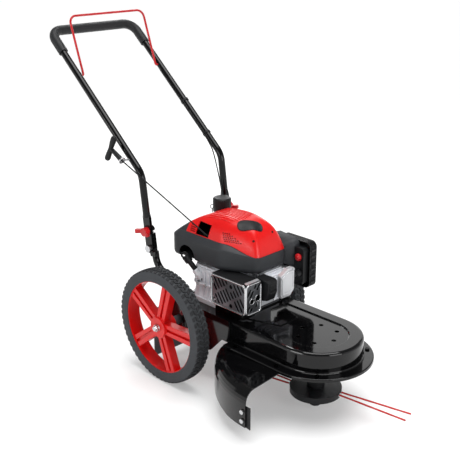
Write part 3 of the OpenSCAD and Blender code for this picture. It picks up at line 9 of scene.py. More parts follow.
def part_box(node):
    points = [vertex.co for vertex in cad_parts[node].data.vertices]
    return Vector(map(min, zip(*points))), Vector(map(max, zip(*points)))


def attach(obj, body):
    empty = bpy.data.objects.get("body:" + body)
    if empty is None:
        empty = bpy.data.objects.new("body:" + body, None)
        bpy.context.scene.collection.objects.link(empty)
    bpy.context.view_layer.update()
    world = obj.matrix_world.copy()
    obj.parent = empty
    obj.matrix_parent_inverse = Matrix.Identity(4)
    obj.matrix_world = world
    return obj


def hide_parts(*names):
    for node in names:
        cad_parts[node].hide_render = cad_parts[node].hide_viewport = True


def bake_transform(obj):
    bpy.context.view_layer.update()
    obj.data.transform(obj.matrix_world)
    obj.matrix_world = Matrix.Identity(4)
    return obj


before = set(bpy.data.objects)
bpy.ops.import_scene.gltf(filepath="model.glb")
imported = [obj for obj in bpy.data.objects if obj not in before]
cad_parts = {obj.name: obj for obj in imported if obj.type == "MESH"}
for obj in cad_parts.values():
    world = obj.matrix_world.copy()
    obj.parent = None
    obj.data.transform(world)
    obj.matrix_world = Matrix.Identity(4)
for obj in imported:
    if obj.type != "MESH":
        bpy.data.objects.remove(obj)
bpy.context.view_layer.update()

bl_info = {
    "name": "Wheeled string trimmer",
    "version": (1, 0, 0),
    "blender": (4, 5, 0),
    "location": "View3D > Sidebar > Trimmer",
    "description": "Dresses the packed trimmer with tread, housings, cords, trim and finishes",
    "category": "Object",
}

MM = 0.001
X, Y, Z = Vector((1, 0, 0)), Vector((0, 1, 0)), Vector((0, 0, 1))


# Colours and sizes that a user would change

def tint(code):
    """Linear colour of a six-digit screen code."""
    def linear(pair):
        c = int(pair, 16) / 255
        return c / 12.92 if c <= 0.04045 else ((c + 0.055) / 1.055) ** 2.4
    return tuple(linear(code[i:i + 2]) for i in (0, 2, 4))


def colour(label, words, code):
    return bpy.props.FloatVectorProperty(
        name=label, description=words, subtype="COLOR", size=3, min=0, max=1, default=tint(code))


def length(label, words, millimetres):
    return bpy.props.FloatProperty(
        name=label, description=words, subtype="DISTANCE", unit="LENGTH", default=millimetres * MM)


class TrimmerColours(bpy.types.PropertyGroup):
    red: colour("Red", "Moulded rims and top cover", "D8100F")
    dark_red: colour("Dark red", "Bail, wing knobs and primer", "BE1A20")
    line_red: colour("Line red", "Cutting lines", "BE1F1A")
    gloss_black: colour("Gloss black", "Painted deck and frame", "070708")
    tube_black: colour("Tube black", "Painted handle tubes", "050506")
    charcoal: colour("Charcoal", "Blower housing and filter duct", "2D2F32")
    satin_black: colour("Satin black", "Moulded caps, head and filter cover", "131416")
    sidewall: colour("Side wall", "Tyre side walls", "434548")
    tread: colour("Tread", "Tyre tread blocks", "2E2F31")
    alloy: colour("Cast alloy", "Crankcase and cylinder", "E4E6EB")
    chrome: colour("Bright sheet", "Guard rim and outlets", "C9CACC")
    sheet: colour("Guard sheet", "Slotted muffler guard", "7C7E82")
    polish: colour("Polished alloy", "Valve cover", "C9CACD")
    zinc: colour("Zinc", "Bolts, nuts and rope guide", "C3C4C6")
    iron: colour("Iron", "Pulleys and muffler", "55575A")
    flap: colour("Flap", "Rear flap", "5D5F63")
    foam: colour("Foam", "Handle grip", "1D1E20")
    floor: colour("Floor", "Studio floor", "F7F7F7")


class TrimmerSizes(bpy.types.PropertyGroup):
    lug_count: bpy.props.IntProperty(
        name="Tread pitches", description="Tread blocks in one row of a tyre", default=60, min=24, max=90)
    lug_depth: length("Tread depth", "Depth of the grooves between tread blocks", 3.2)
    cover_wall: length("Cover wall", "Thickness of the moulded covers", 2.6)
    rope_width: length("Rope", "Diameter of the starter rope", 4.2)
    line_width: length("Line", "Diameter of the cutting lines", 5.2)
    cable_width: length("Cable", "Diameter of the brake cable", 4.0)
    lens: bpy.props.FloatProperty(
        name="Lens", description="Focal length of the camera in millimetres", default=67.33, min=20, max=200)


# Meshes

MERGE = 1e-6
MOST_ALONG_Y = 0.9
QUAD = 4


def add_mesh(name, verts, faces, sharp=35):
    """A linked mesh object, smooth but for edges sharper than the given angle."""
    mesh = bpy.data.meshes.new(name)
    mesh.from_pydata([tuple(v) for v in verts], [], faces)
    bm = bmesh.new()
    bm.from_mesh(mesh)
    bmesh.ops.remove_doubles(bm, verts=bm.verts, dist=MERGE)
    bmesh.ops.recalc_face_normals(bm, faces=bm.faces)
    bm.to_mesh(mesh)
    bm.free()
    soften(mesh, sharp)
    obj = bpy.data.objects.new(name, mesh)
    bpy.context.scene.collection.objects.link(obj)
    return obj


def soften(mesh, sharp):
    mesh.shade_smooth()
    mesh.set_sharp_from_angle(angle=math.radians(sharp))


def dress(obj, finish_name, body):
    """Gives a piece its finish and, unless it is blended between two, the body that it rides on."""
    obj.data.materials.clear()
    obj.data.materials.append(finishes[finish_name])
    if body:
        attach(obj, body)
    return obj


def add_piece(name, shape, finish_name, body="chassis", sharp=30):
    """A dressed piece from the vertices and faces of a shape."""
    return dress(add_mesh(name, *shape, sharp), finish_name, body)


def loft(rings, caps=True):
    """Vertices and faces through closed rings of equally many points."""
    n = len(rings[0])
    verts = [p for ring in rings for p in ring]
    faces = []
    for j in range(len(rings) - 1):
        for i in range(n):
            k = (i + 1) % n
            faces.append((j * n + i, j * n + k, (j + 1) * n + k, (j + 1) * n + i))
    if caps:
        faces.append(tuple(reversed(range(n))))
        faces.append(tuple((len(rings) - 1) * n + i for i in range(n)))
    return verts, faces


def joined(shapes):
    """Vertices and faces of several shapes in one."""
    verts, faces = [], []
    for v, f in shapes:
        faces += [tuple(len(verts) + n for n in face) for face in f]
        verts += v
    return verts, faces


def circle(u, v, steps):
    """Directions evenly round a circle that starts at one vector and passes the other."""
    angles = (2 * math.pi * k / steps for k in range(steps))
    return [u * math.cos(a) + v * math.sin(a) for a in angles]


def tube(route, radius, sides=12):
    """A round tube along a route of points, with closed ends."""
    rings = []
    side = Y if abs((route[1] - route[0]).normalized().y) < MOST_ALONG_Y else X
    for i, p in enumerate(route):
        d = (route[min(i + 1, len(route) - 1)] - route[max(i - 1, 0)]).normalized()
        side = (side - d * side.dot(d)).normalized()
        rings.append([p + radius * way for way in circle(side, d.cross(side), sides)])
    return loft(rings)


def spline(points, steps):
    """Smooth points through a route."""
    out = []
    n = len(points)
    for i in range(n - 1):
        a, b = points[max(i - 1, 0)], points[i]
        c, d = points[i + 1], points[min(i + 2, n - 1)]
        for k in range(steps + (i == n - 2)):
            t = k / steps
            out.append((2 * b + (c - a) * t + (2 * a - 5 * b + 4 * c - d) * t ** 2
                        + (3 * b - a - 3 * c + d) * t ** 3) / 2)
    return out


def spin(profile, steps, centre, outward):
    """A ring turned about an axis along Y; the profile is (radius, distance outwards) in millimetres."""
    rings = [[centre + (way * r + Y * w * outward) * MM for r, w in profile] for way in circle(X, Z, steps)]
    return loft(rings + rings[:1], caps=False)


def turned(profile, at, way, steps=28):
    """A round solid about a line; the profile is (radius, distance along the line) in millimetres."""
    u = way.orthogonal().normalized()
    ring = circle(u, way.cross(u), steps)
    return loft([[at + (way * d + spoke * r) * MM for spoke in ring] for r, d in profile])


def ring_bar(route, radius, normal, sides=10):
    """A round bar along a closed flat route; its radius is in millimetres."""
    rings = []
    for i, p in enumerate(route):
        d = (route[(i + 1) % len(route)] - route[i - 1]).normalized()
        rings.append([p + radius * MM * way for way in circle(normal, d.cross(normal), sides)])
    return loft(rings + rings[:1], caps=False)


def round_loop(mid, normal, big, small, steps=28):
    """A round bar bent to a ring; both radii are in millimetres."""
    u = normal.orthogonal().normalized()
    return ring_bar([mid + big * MM * way for way in circle(u, normal.cross(u), steps)], small, normal)


def round_corners(low, high, corner, inset=0, arc=6):
    """Points round a rectangle with round corners, drawn in by an inset."""
    out = []
    for sx, sy, a0 in ((1, 1, 0), (-1, 1, 90), (-1, -1, 180), (1, -1, 270)):
        cx = (high[0] if sx > 0 else low[0]) - sx * (corner + inset)
        cy = (high[1] if sy > 0 else low[1]) - sy * (corner + inset)
        for k in range(arc + 1):
            a = math.radians(a0 + 90 * k / arc)
            out.append((cx + corner * math.cos(a), cy + corner * math.sin(a)))
    return out


def left_of(d):
    return Vector((-d.y, d.x))


def cut(obj, cutters):
    """Subtracts the cutters from an object and deletes them."""
    for c in cutters:
        mod = obj.modifiers.new("cut", "BOOLEAN")
        mod.object = c
        mod.solver = "EXACT"
    bake(obj)
    for c in cutters:
        bpy.data.objects.remove(c)


def bake(obj):
    """Applies an object's modifiers to its mesh, and splits its larger faces without back-to-back slivers."""
    shape = bpy.data.meshes.new_from_object(obj.evaluated_get(bpy.context.evaluated_depsgraph_get()))
    obj.modifiers.clear()
    bm = bmesh.new()
    bm.from_mesh(shape)
    bmesh.ops.triangulate(bm, faces=[f for f in bm.faces if len(f.verts) > QUAD], ngon_method="EAR_CLIP")
    twins = {}
    for f in bm.faces:
        twins.setdefault(frozenset(f.verts), []).append(f)
    bmesh.ops.delete(bm, geom=[f for same in twins.values() if len(same) > 1 for f in same], context="FACES")
    bm.to_mesh(shape)
    bm.free()
    obj.data = shape


# Finishes

NOISE_LOW, NOISE_HIGH = 0.3, 0.7
EDGE_START, EDGE_FULL = 0.995, 0.86
EDGE_ROUND = 1.2
BEVEL_SAMPLES = 4
# Noise for roughness and for the lighter edges, which are partly scuffs and partly a painted highlight
SCUFF_AND_HIGHLIGHT_SCALE, SCUFF_AND_HIGHLIGHT_LEAST, SCUFF_AND_HIGHLIGHT_MOST = 4, 0.1, 0.9
LEAST_ROUGH = 0.02
# How far the vent discs are darkened: painted shade inside the vent holes
VENT_SHADE = 0.18
BOLT_SPLIT, BOLT_BLEND = 145, 1


class Finish:
    """A node material built step by step."""

    def __init__(self, name):
        self.material = bpy.data.materials.new(name)
        self.material.use_nodes = True
        self.tree = self.material.node_tree
        self.shader = self.tree.nodes["Principled BSDF"]

    def fill(self, node, sockets):
        """Links each named input of a node to an output, or sets its value."""
        for key, value in sockets.items():
            if isinstance(value, bpy.types.NodeSocket):
                self.tree.links.new(value, node.inputs[key])
            else:
                node.inputs[key].default_value = value

    def add(self, kind, sockets, **values):
        node = self.tree.nodes.new(kind)
        for key, value in values.items():
            setattr(node, key, value)
        self.fill(node, sockets)
        return node

    def place(self):
        return self.add("ShaderNodeTexCoord", {}).outputs["Object"]

    def noise(self, scale, detail=4.0, rough=0.55, stretch=None):
        """Soft noise over the piece, drawn out along an axis where it is stretched."""
        spot = self.place()
        if stretch:
            spot = self.add("ShaderNodeMapping", {"Vector": spot, "Scale": stretch}).outputs["Vector"]
        sockets = {"Vector": spot, "Scale": scale, "Detail": detail, "Roughness": rough}
        return self.add("ShaderNodeTexNoise", sockets).outputs["Fac"]

    def span(self, value, low, high, start=NOISE_LOW, end=NOISE_HIGH):
        """A value taken from one range to another."""
        sockets = {"Value": value, "From Min": start, "From Max": end, "To Min": low, "To Max": high}
        return self.add("ShaderNodeMapRange", sockets).outputs["Result"]

    def reckon(self, operation, a, b):
        return self.add("ShaderNodeMath", {0: a, 1: b}, operation=operation).outputs[0]

    def shades(self, share, dark, light):
        """A mix of two, each a colour or an output."""
        node = self.add("ShaderNodeMix", {}, data_type="RGBA")
        self.fill(node, {"Factor": share, "A": dark, "B": light})
        return node.outputs["Result"]

    def rounded(self, radius):
        """Normals that run round each edge, and how close a point is to one."""
        bent = self.add("ShaderNodeBevel", {"Radius": radius * MM}, samples=BEVEL_SAMPLES).outputs["Normal"]
        flat = self.add("ShaderNodeNewGeometry", {}).outputs["Normal"]
        turn = self.add("ShaderNodeVectorMath", {0: bent, 1: flat}, operation="DOT_PRODUCT").outputs["Value"]
        return bent, self.span(turn, 0, 1, EDGE_START, EDGE_FULL)

    def relief(self, height, strength, depth, normal):
        sockets = {"Strength": strength, "Distance": depth * MM, "Height": height, "Normal": normal}
        return self.add("ShaderNodeBump", sockets).outputs["Normal"]


def dimmed(c, share=1.0):
    """An opaque colour, darkened or lightened by a share."""
    return (*(min(1.0, x * share) for x in c[:3]), 1)


def finish(name, base, rough, metal=0.0, mottle=0.06, mottle_scale=18, grain=0.05, grain_scale=900,
           rough_span=0.05, coat=0.0, coat_rough=0.08, sheen=0.0, stretch=None, gloss=0.35, depth=0.4, edge_scuff_and_highlight=1.5):
    """Colour and roughness that vary softly, a fine grain, and rounded edges lighter in patches: partly scuffs,
    partly a painted highlight.
    """
    f = Finish(name)
    soft = f.span(f.noise(mottle_scale, stretch=stretch), 0, 1)
    scuff_and_highlight_noise = f.noise(mottle_scale * SCUFF_AND_HIGHLIGHT_SCALE, detail=6.0, rough=0.65, stretch=stretch)
    fine = f.noise(grain_scale, detail=2.0, rough=0.5, stretch=stretch)
    normal, near_edge = f.rounded(EDGE_ROUND)
    body = f.shades(soft, dimmed(base, 1 - mottle), dimmed(base, 1 + mottle))
    # Rounded edges painted lighter where the noise allows: partly scuffs, partly a painted highlight
    scuff_and_highlight_mask = f.reckon("MULTIPLY", near_edge, f.span(scuff_and_highlight_noise, SCUFF_AND_HIGHLIGHT_LEAST, SCUFF_AND_HIGHLIGHT_MOST))
    f.fill(f.shader, {
        "Base Color": f.shades(scuff_and_highlight_mask, body, dimmed(base, edge_scuff_and_highlight)),
        "Roughness": f.span(scuff_and_highlight_noise, max(LEAST_ROUGH, rough - rough_span), rough + rough_span),
        "Normal": f.relief(fine, grain, depth, normal),
        "Metallic": metal, "Specular IOR Level": gloss, "Sheen Weight": sheen,
        "Coat Weight": coat, "Coat Roughness": coat_rough})
    return f.material


def two_zone_finish(name, upper, lower, height):
    """Metal in one colour above a height and another below it."""
    f = Finish(name)
    split = f.add("ShaderNodeSeparateXYZ", {0: f.place()}).outputs["Z"]
    zone = f.span(split, 0, 1, (height - BOLT_BLEND) * MM, (height + BOLT_BLEND) * MM)
    fine = f.noise(scale=300, detail=3.0)
    f.fill(f.shader, {
        "Base Color": f.shades(zone, dimmed(lower), dimmed(upper)),
        "Roughness": f.span(fine, low=0.22, high=0.36),
        "Normal": f.relief(fine, strength=0.06, depth=0.3, normal=f.rounded(radius=0.8)[0]),
        "Metallic": 1.0})
    return f.material


def make_finishes(c):
    return {
        "red": finish("red_moulding", c.red, rough=0.32, mottle=0.05, grain_scale=700, coat=0.06, coat_rough=0.12),
        # Dark red for the vent discs: painted shade of the holes' insides
        "vent": finish("vent_shade", dimmed(c.red, VENT_SHADE), rough=0.6, mottle=0.2, grain=0.2, gloss=0.2),
        "dark_red": finish("dark_red_gloss", c.dark_red, rough=0.3, grain=0.04, coat=0.1),
        "line": finish("line_nylon", c.line_red, rough=0.4, mottle=0.12, mottle_scale=60, grain=0.1,
                       grain_scale=400),
        "gloss_black": finish("gloss_black_paint", c.gloss_black, rough=0.09, rough_span=0.03, mottle=0.15,
                              grain=0.02, grain_scale=260, coat=0.2, coat_rough=0.03, gloss=0.25),
        "tube_black": finish("tube_black_paint", c.tube_black, rough=0.12, rough_span=0.03, mottle=0.15,
                             grain=0.03, grain_scale=420, gloss=0.3),
        "charcoal": finish("charcoal_moulding", c.charcoal, rough=0.5, grain=0.16, grain_scale=1300, gloss=0.3),
        "satin_black": finish("satin_black_moulding", c.satin_black, rough=0.45, mottle=0.12, grain=0.14,
                              grain_scale=1100, gloss=0.25),
        "tyre": finish("tyre_side_wall", c.sidewall, rough=0.75, mottle_scale=30, grain=0.2, grain_scale=800,
                       gloss=0.2),
        "tread": finish("tyre_tread", c.tread, rough=0.8, mottle=0.15, mottle_scale=40, grain=0.3,
                        grain_scale=700, gloss=0.2),
        "rubber": finish("belt_rubber", c.satin_black, rough=0.7, mottle=0.12, grain=0.2, grain_scale=700),
        "alloy": finish("cast_alloy", c.alloy, rough=0.55, rough_span=0.1, metal=0.25, mottle=0.08,
                        mottle_scale=25, grain=0.2, grain_scale=650, edge_scuff_and_highlight=1.15),
        "polish": finish("polished_alloy", c.polish, rough=0.34, metal=0.75, mottle=0.05, grain=0.06,
                         grain_scale=400, edge_scuff_and_highlight=1.1),
        "chrome": finish("bright_sheet", c.chrome, rough=0.2, metal=1.0, mottle=0.05, grain=0.03,
                         grain_scale=300, edge_scuff_and_highlight=1.1),
        "sheet": finish("guard_sheet", c.sheet, rough=0.34, metal=1.0, mottle=0.1, grain_scale=300, edge_scuff_and_highlight=1.7),
        "burnt": finish("heat_blackened_steel", c.satin_black, rough=0.6, metal=0.3, mottle=0.3, grain=0.3,
                        grain_scale=500),
        "bolts": two_zone_finish("frame_bolt_plate", c.gloss_black, c.zinc, BOLT_SPLIT),
        "zinc": finish("zinc_plate", c.zinc, rough=0.28, metal=1.0, mottle=0.08, grain=0.06, grain_scale=500),
        "steel": finish("turned_steel", c.zinc, rough=0.3, metal=1.0, grain=0.1, grain_scale=300,
                        stretch=(1, 1, 12)),
        "iron": finish("grey_iron", c.iron, rough=0.6, metal=0.7, mottle=0.16, grain=0.4, grain_scale=500),
        "flap": finish("flap_rubber", c.flap, rough=0.62, mottle=0.08, grain=0.2, grain_scale=500),
        "foam": finish("grip_foam", c.foam, rough=0.5, mottle=0.14, mottle_scale=120, grain=0.35,
                       grain_scale=1400, sheen=0.05, gloss=0.3, depth=0.6),
        "cord": finish("rope_braid", c.satin_black, rough=0.8, mottle=0.3, mottle_scale=700, grain=0.5,
                       grain_scale=1500),
        "jacket": finish("cable_jacket", c.satin_black, rough=0.5, mottle=0.1, grain=0.1),
    }


NODE_FINISH = {
    "red": ["right_rim", "left_rim"],
    "dark_red": ["right_clamp_knob", "left_clamp_knob", "primer_bulb", "bail"],
    "gloss_black": ["chassis_frame", "deck_shell", "deck_plate", "deflector"],
    "tube_black": ["lower_handles", "handle_brackets", "upper_handle"],
    "charcoal": ["fuel_tank"],
    "satin_black": ["line_knife", "starter_reel", "trimmer_head", "glide_knob", "spark_plug", "dipstick_tube",
                    "dipstick", "air_filter_base", "air_filter_cover", "starter_grip", "cable_clips", "fuel_cap"],
    "rubber": ["drive_belt"],
    "alloy": ["spindle_housing", "engine_block", "cylinder_head", "flywheel", "carburettor"],
    "polish": ["valve_cover"],
    "burnt": ["muffler"],
    "bolts": ["frame_bolts"],
    "zinc": ["axle_nuts", "spindle_bolts", "handle_bolts", "rope_guide", "line_eyelets"],
    "steel": ["axle", "spindle_bearings", "spindle_shaft", "crankshaft"],
    "iron": ["driven_pulley", "drive_pulley", "wheel_bushes"],
    "flap": ["rear_flap"],
    "foam": ["handle_grip", "filter_element"],
}

finishes = {}


def dress_nodes():
    for key, names in NODE_FINISH.items():
        for name in names:
            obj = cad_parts[name]
            obj.data.materials.clear()
            obj.data.materials.append(finishes[key])


# Tyres, in millimetres: a carcass with ribbed side walls and four rows of tread blocks

RIM_R, RIM_HALF, BEAD_R = 148, 21.6, 140.5
# Radius, and how far in from the tyre's outer face
SIDE_WALL = [(140.9, 0.6), (142.1, 0), (148, 0), (148.6, 0.5), (149.6, 0.5), (150.2, 0), (166, 0), (169, 0.8)]
SHOULDER_IN, TREAD_CROWN, BLOCK_ROOT = 3, 2.2, 2
# Two edges across the tread; shift, length and skew as shares of the pitch; share of its foot that a top keeps
TREAD_ROWS = [(12.5, 22.8, 0.25, 0.62, -0.2, 0.93), (1.2, 11.2, -0.25, 0.7, 0.34, 0.9)]
CARCASS_STEPS, TYRE_SHARP = 160, 32


def build_tyre(name, outward, sizes):
    """The tyre on one side of the machine; outward is that side's sign along Y."""
    low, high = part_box(name + "_tyre")
    centre = (low + high) / 2
    half, tyre_r = (high.y - low.y) / 2 / MM, (high.z - low.z) / 2 / MM
    floor_r = tyre_r - sizes.lug_depth / MM

    def spot(r, w, a):
        return centre + Vector((r * math.cos(a), w * outward, r * math.sin(a))) * MM

    def block(w0, w1, a0, a1, skew, taper):
        """One block between two places across the tread and two angles, its far edge skewed."""
        mid_w, mid_a = (w0 + w1) / 2, (a0 + a1 + skew) / 2
        foot = ((w0, a0), (w1, a0 + skew), (w1, a1 + skew), (w0, a1))
        top = [(mid_w + (w - mid_w) * taper, mid_a + (a - mid_a) * taper) for w, a in foot]
        return loft([[spot(floor_r - BLOCK_ROOT, w, a) for w, a in foot],
                     [spot(tyre_r - TREAD_CROWN * (w / half) ** 2, w, a) for w, a in top]])

    flank = [(RIM_R, -RIM_HALF), (BEAD_R, -RIM_HALF)]
    flank += [(r, e - half) for r, e in SIDE_WALL + [(floor_r, SHOULDER_IN)]]
    profile = flank + [(floor_r, 0)] + [(r, -w) for r, w in reversed(flank)]
    carcass = add_piece(name + "_tyre_carcass", spin(profile, CARCASS_STEPS, centre, outward), "tyre",
                        name + "_wheel", TYRE_SHARP)
    step = 2 * math.pi / sizes.lug_count
    blocks = []
    for k in range(sizes.lug_count):
        for side in (-1, 1):
            for near, far, shift, long, skew, taper in TREAD_ROWS:
                start = (k + shift * side) * step
                blocks.append(block(near * side, far * side, start, start + long * step, skew * step, taper))
    add_piece(name + "_tyre_tread", joined(blocks), "tread", name + "_wheel", TYRE_SHARP)
    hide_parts(name + "_tyre")


# Blower housing and top cover, in millimetres from a point on the engine's foot

ENGINE = Vector((-0.325, 0, 0.228))
COWL_CORNERS = [(-180, -98, 30), (28, -98, 70), (135, -42, 24), (135, 82, 24), (28, 98, 70), (-180, 98, 30)]
LEAST_CORNER = 2
KNEE_X, NOSE_X = 28, 135
CASE_TOP, WALL_TOP, RIM_TOP = 124, 187, 202
LEDGE_IN, NOSE_LEDGE_SHARE = 18, 0.85
WALL_DIP, RIM_DIP = 12, 28
CREST, CREST_X, CREST_DIP, CREST_LEN = 266, 0, 22, 137
COVER_MID = Vector((18, 14))
COVER_OVAL = (140, 80)
COVER_ROUND, COVER_BLEND = 5, 1.3
DOME_ROWS, DOME_SWEEP = 26, 88.5
SEAM_X, SEAM_GAP = -126, 0.4
# Shares of the way from the wall's top to the rim, and a lift that rounds the shoulder
SHOULDER_ROWS = ((1.0, 0.0), (0.9, 0.3), (0.6, 0.5), (0.25, 0.6), (0.08, 0.4), (0.02, 0.0))
WALL_SHARES = (0.98, 0.8, 0.55, 0.3)
# Inset of the rounded foot, and its height over the crankcase
FOOT_ROWS = ((0, 13), (1, 7.5), (3.6, 3), (7.5, 0.7), (12, 0))
# Shares of the inner wall's height, and its inset past the wall
INNER_ROWS = ((1.0, 0), (0.6, 0), (0.25, 0), (0.0, 12))
ROPE_WINDOW = ((-86, -110, 202.4), (-32, -52, 238))
CAP_X, CAP_Y, CAP_HOLE_R, CAP_WELL_R, CAP_WELL_Z = -112, 56, 19.4, 30.4, 237.6
ARCH_X, ARCH_Y, ARCH_RISE, ARCH_R = -106, -84, 8, 34
FAN_R, FAN_CUT = 60, 10
BEYOND = 400
COVER_SHARP, COWL_SHARP = 40, 34
BOX_FACES = [(0, 1, 3, 2), (4, 6, 7, 5), (0, 4, 5, 1), (2, 3, 7, 6), (0, 2, 6, 4), (1, 5, 7, 3)]


def at_engine(x, y, z):
    return ENGINE + Vector((x, y, z)) * MM


def engine_points(points):
    return [at_engine(*p) for p in points]


def engine_box(low, high):
    """A box to cut with, between two corners."""
    corners = [(x, y, z) for x in (low[0], high[0]) for y in (low[1], high[1]) for z in (low[2], high[2])]
    return add_mesh("cutter", engine_points(corners), BOX_FACES)


def engine_drill(start, end, radius, sides=48):
    """A round bar to cut with, between two places."""
    return add_mesh("cutter", *tube(engine_points((start, end)), radius * MM, sides))


def outline(inset, arc=10, edge=9):
    """Rounded outline of the housing, drawn in by an inset, with a fixed count of points."""
    pts = [Vector(c[:2]) for c in COWL_CORNERS]
    n = len(pts)
    arcs = []
    for i in range(n):
        d1 = (pts[i] - pts[i - 1]).normalized()
        d2 = (pts[(i + 1) % n] - pts[i]).normalized()
        n1, n2 = left_of(d1), left_of(d2)
        v = pts[i] + inset * (n1 + n2) / (1 + n1.dot(n2))
        r = max(COWL_CORNERS[i][2] - inset, LEAST_CORNER)
        turn = math.acos(max(-1, min(1, d1.dot(d2))))
        mid = v - d1 * r * math.tan(turn / 2) + n1 * r
        a0 = math.atan2(-n1.y, -n1.x)
        arcs.append([mid + r * Vector((math.cos(a0 + turn * k / arc), math.sin(a0 + turn * k / arc)))
                     for k in range(arc + 1)])
    ring = []
    for i in range(n):
        ring += arcs[i]
        a, b = arcs[i][-1], arcs[(i + 1) % n][0]
        ring += [a + (b - a) * k / edge for k in range(1, edge)]
    return ring


def nose(x):
    """From 0 at the knee to 1 at the nose, smoothly."""
    u = max(0.0, min(1.0, (x - KNEE_X) / (NOSE_X - KNEE_X)))
    return u * u * (3 - 2 * u)


def rim_z(x):
    return RIM_TOP - RIM_DIP * nose(x)


def wall_z(x):
    return WALL_TOP - WALL_DIP * nose(x)


def rim_outline(inset):
    outer, inner = outline(inset), outline(LEDGE_IN + inset)
    return [b + (a - b) * nose(a.x) * NOSE_LEDGE_SHARE for a, b in zip(outer, inner)]


def dome_point(p, k, drop):
    """A point of the cover over a rim point, from the rim (1) to the crown (0); its rings turn round on the way."""
    way = p - COVER_MID
    unit = way.normalized()
    oval = Vector((unit.x * COVER_OVAL[0], unit.y * COVER_OVAL[1]))
    blend = (1 - k) ** COVER_BLEND
    q = COVER_MID + (way * (1 - blend) + oval * blend) * k
    w = k ** COVER_ROUND
    crest = CREST - CREST_DIP * ((q.x - CREST_X) / CREST_LEN) ** 2
    return at_engine(*q, rim_z(p.x) * w + crest * (1 - w) - drop)


def dome_rings(inset):
    """Rings of the cover's outer face, or of the inner one that lies an inset under it."""
    base = rim_outline(inset)
    levels = [math.cos(math.radians(DOME_SWEEP) * j / DOME_ROWS) for j in range(DOME_ROWS + 1)]
    return [[dome_point(p, k, inset) for p in base] for k in levels]


def shell(outer, inner):
    """A closed shell between two lofts with the same first ring count."""
    v1, f1 = loft(outer, caps=False)
    v2, f2 = loft(inner, caps=False)
    n, m = len(outer[0]), len(v1)
    f1.append(tuple((len(outer) - 1) * n + i for i in range(n)))
    f2.append(tuple((len(inner) - 1) * n + i for i in range(n)))
    rim = [(i, (i + 1) % n, m + (i + 1) % n, m + i) for i in range(n)]
    return v1 + v2, f1 + [tuple(m + i for i in reversed(f)) for f in f2] + rim


def cut_piece(name, shape, cutters, finish_name, sharp):
    """A dressed piece of the chassis with openings cut in it."""
    obj = add_mesh(name, *shape, sharp)
    cut(obj, cutters)
    soften(obj.data, sharp)
    return dress(obj, finish_name, "chassis")


def cap_cutters():
    """The hole round the fuel neck and the wider well that the cap sits in."""
    return [engine_drill((CAP_X, CAP_Y, z), (CAP_X, CAP_Y, BEYOND), r)
            for z, r in ((CASE_TOP, CAP_HOLE_R), (CAP_WELL_Z, CAP_WELL_R))]


def build_cover(wall):
    """The red part of the dome, in front of the seam."""
    behind = engine_box((-BEYOND, -BEYOND, 0), (SEAM_X + SEAM_GAP, BEYOND, BEYOND))
    cover = cut_piece("top_cover_shell", shell(dome_rings(0), dome_rings(wall)),
                      [behind, engine_box(*ROPE_WINDOW)] + cap_cutters(), "red", COVER_SHARP)
    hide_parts("top_cover")
    return cover


def cowl_rings(wall):
    """Rings of the housing's outer face, from the rim down to the foot, and of its inner face."""
    low, high = outline(0), rim_outline(0)
    outer = []
    for s, lift in SHOULDER_ROWS:
        outer.append([at_engine(*(a + (b - a) * s), wall_z(a.x) + (rim_z(a.x) - wall_z(a.x)) * s + lift)
                      for a, b in zip(low, high)])
    outer += [[at_engine(*p, CASE_TOP + (wall_z(p.x) - CASE_TOP) * s) for p in low] for s in WALL_SHARES]
    outer += [[at_engine(*p, CASE_TOP + z) for p in outline(inset)] for inset, z in FOOT_ROWS]
    inner = [[at_engine(*p, rim_z(p.x) - drop) for p in rim_outline(wall)] for drop in (0, wall)]
    inner += [[at_engine(*p, CASE_TOP + wall + (wall_z(p.x) - CASE_TOP - 2 * wall) * s)
               for p in outline(wall + inset)] for s, inset in INNER_ROWS]
    return outer, inner


def build_cowl(wall):
    """The grey housing with its arch, rope window and fan opening, and the part of the dome behind the seam."""
    arch_z = CASE_TOP + ARCH_RISE
    openings = [engine_drill((ARCH_X, -BEYOND, arch_z), (ARCH_X, ARCH_Y, arch_z), ARCH_R), engine_box(*ROPE_WINDOW),
                engine_drill((0, 0, CASE_TOP - FAN_CUT), (0, 0, CASE_TOP + FAN_CUT), FAN_R)]
    body = cut_piece("blower_housing", shell(*cowl_rings(wall)), openings, "charcoal", COWL_SHARP)
    ahead = engine_box((SEAM_X, -BEYOND, 0), (BEYOND, BEYOND, BEYOND))
    cut_piece("housing_back_deck", shell(dome_rings(0), dome_rings(wall)), [ahead] + cap_cutters(), "charcoal",
              COVER_SHARP)
    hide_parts("engine_cowl")


# Trim set on the red cover

BADGE_MID, BADGE_LONG, BADGE_WIDE = Vector((74, -14)), 36, 17.5
BADGE_TURN, BADGE_POWER, BADGE_STEPS = math.radians(46), 0.8, 48
# Shares of the plate's size, and their lift over the cover
BADGE_ROWS = ((1.0, -0.8), (1.0, 1.6), (0.95, 1.9), (0.9, 0.8), (0.6, 0.8), (0.25, 0.8))
DISC_ROWS, DISC_STEPS = ((1, -0.4), (1, 0.5), (0.6, 0.2)), 12
# First place along the engine, shift of each row, pitch, top height, rows, holes in the first row, more in each
VENT_FIELDS = ((20, 3.2, 6.4, 230, 5, 4, 1), (-112, 1.5, 5.2, 224, 4, 4, 0))
VENT_R, VENT_DROP = 2.1, 5.2
COVER_SCREWS, COVER_SCREW_R = ((108, -34), (110, 42)), 3.4
RIB_YS, RIB_XS = [-44 + 8.5 * i for i in range(11)], range(-62, 51, 7)
RIB_R, RIB_SIDES, RIB_SWEEP, RIB_LIFT, RIB_SINK = 1.3, 8, 0.35, 0.4, -0.6


def surface_of(obj):
    bm = bmesh.new()
    bm.from_mesh(obj.data)
    tree = BVHTree.FromBMesh(bm)
    bm.free()
    return tree


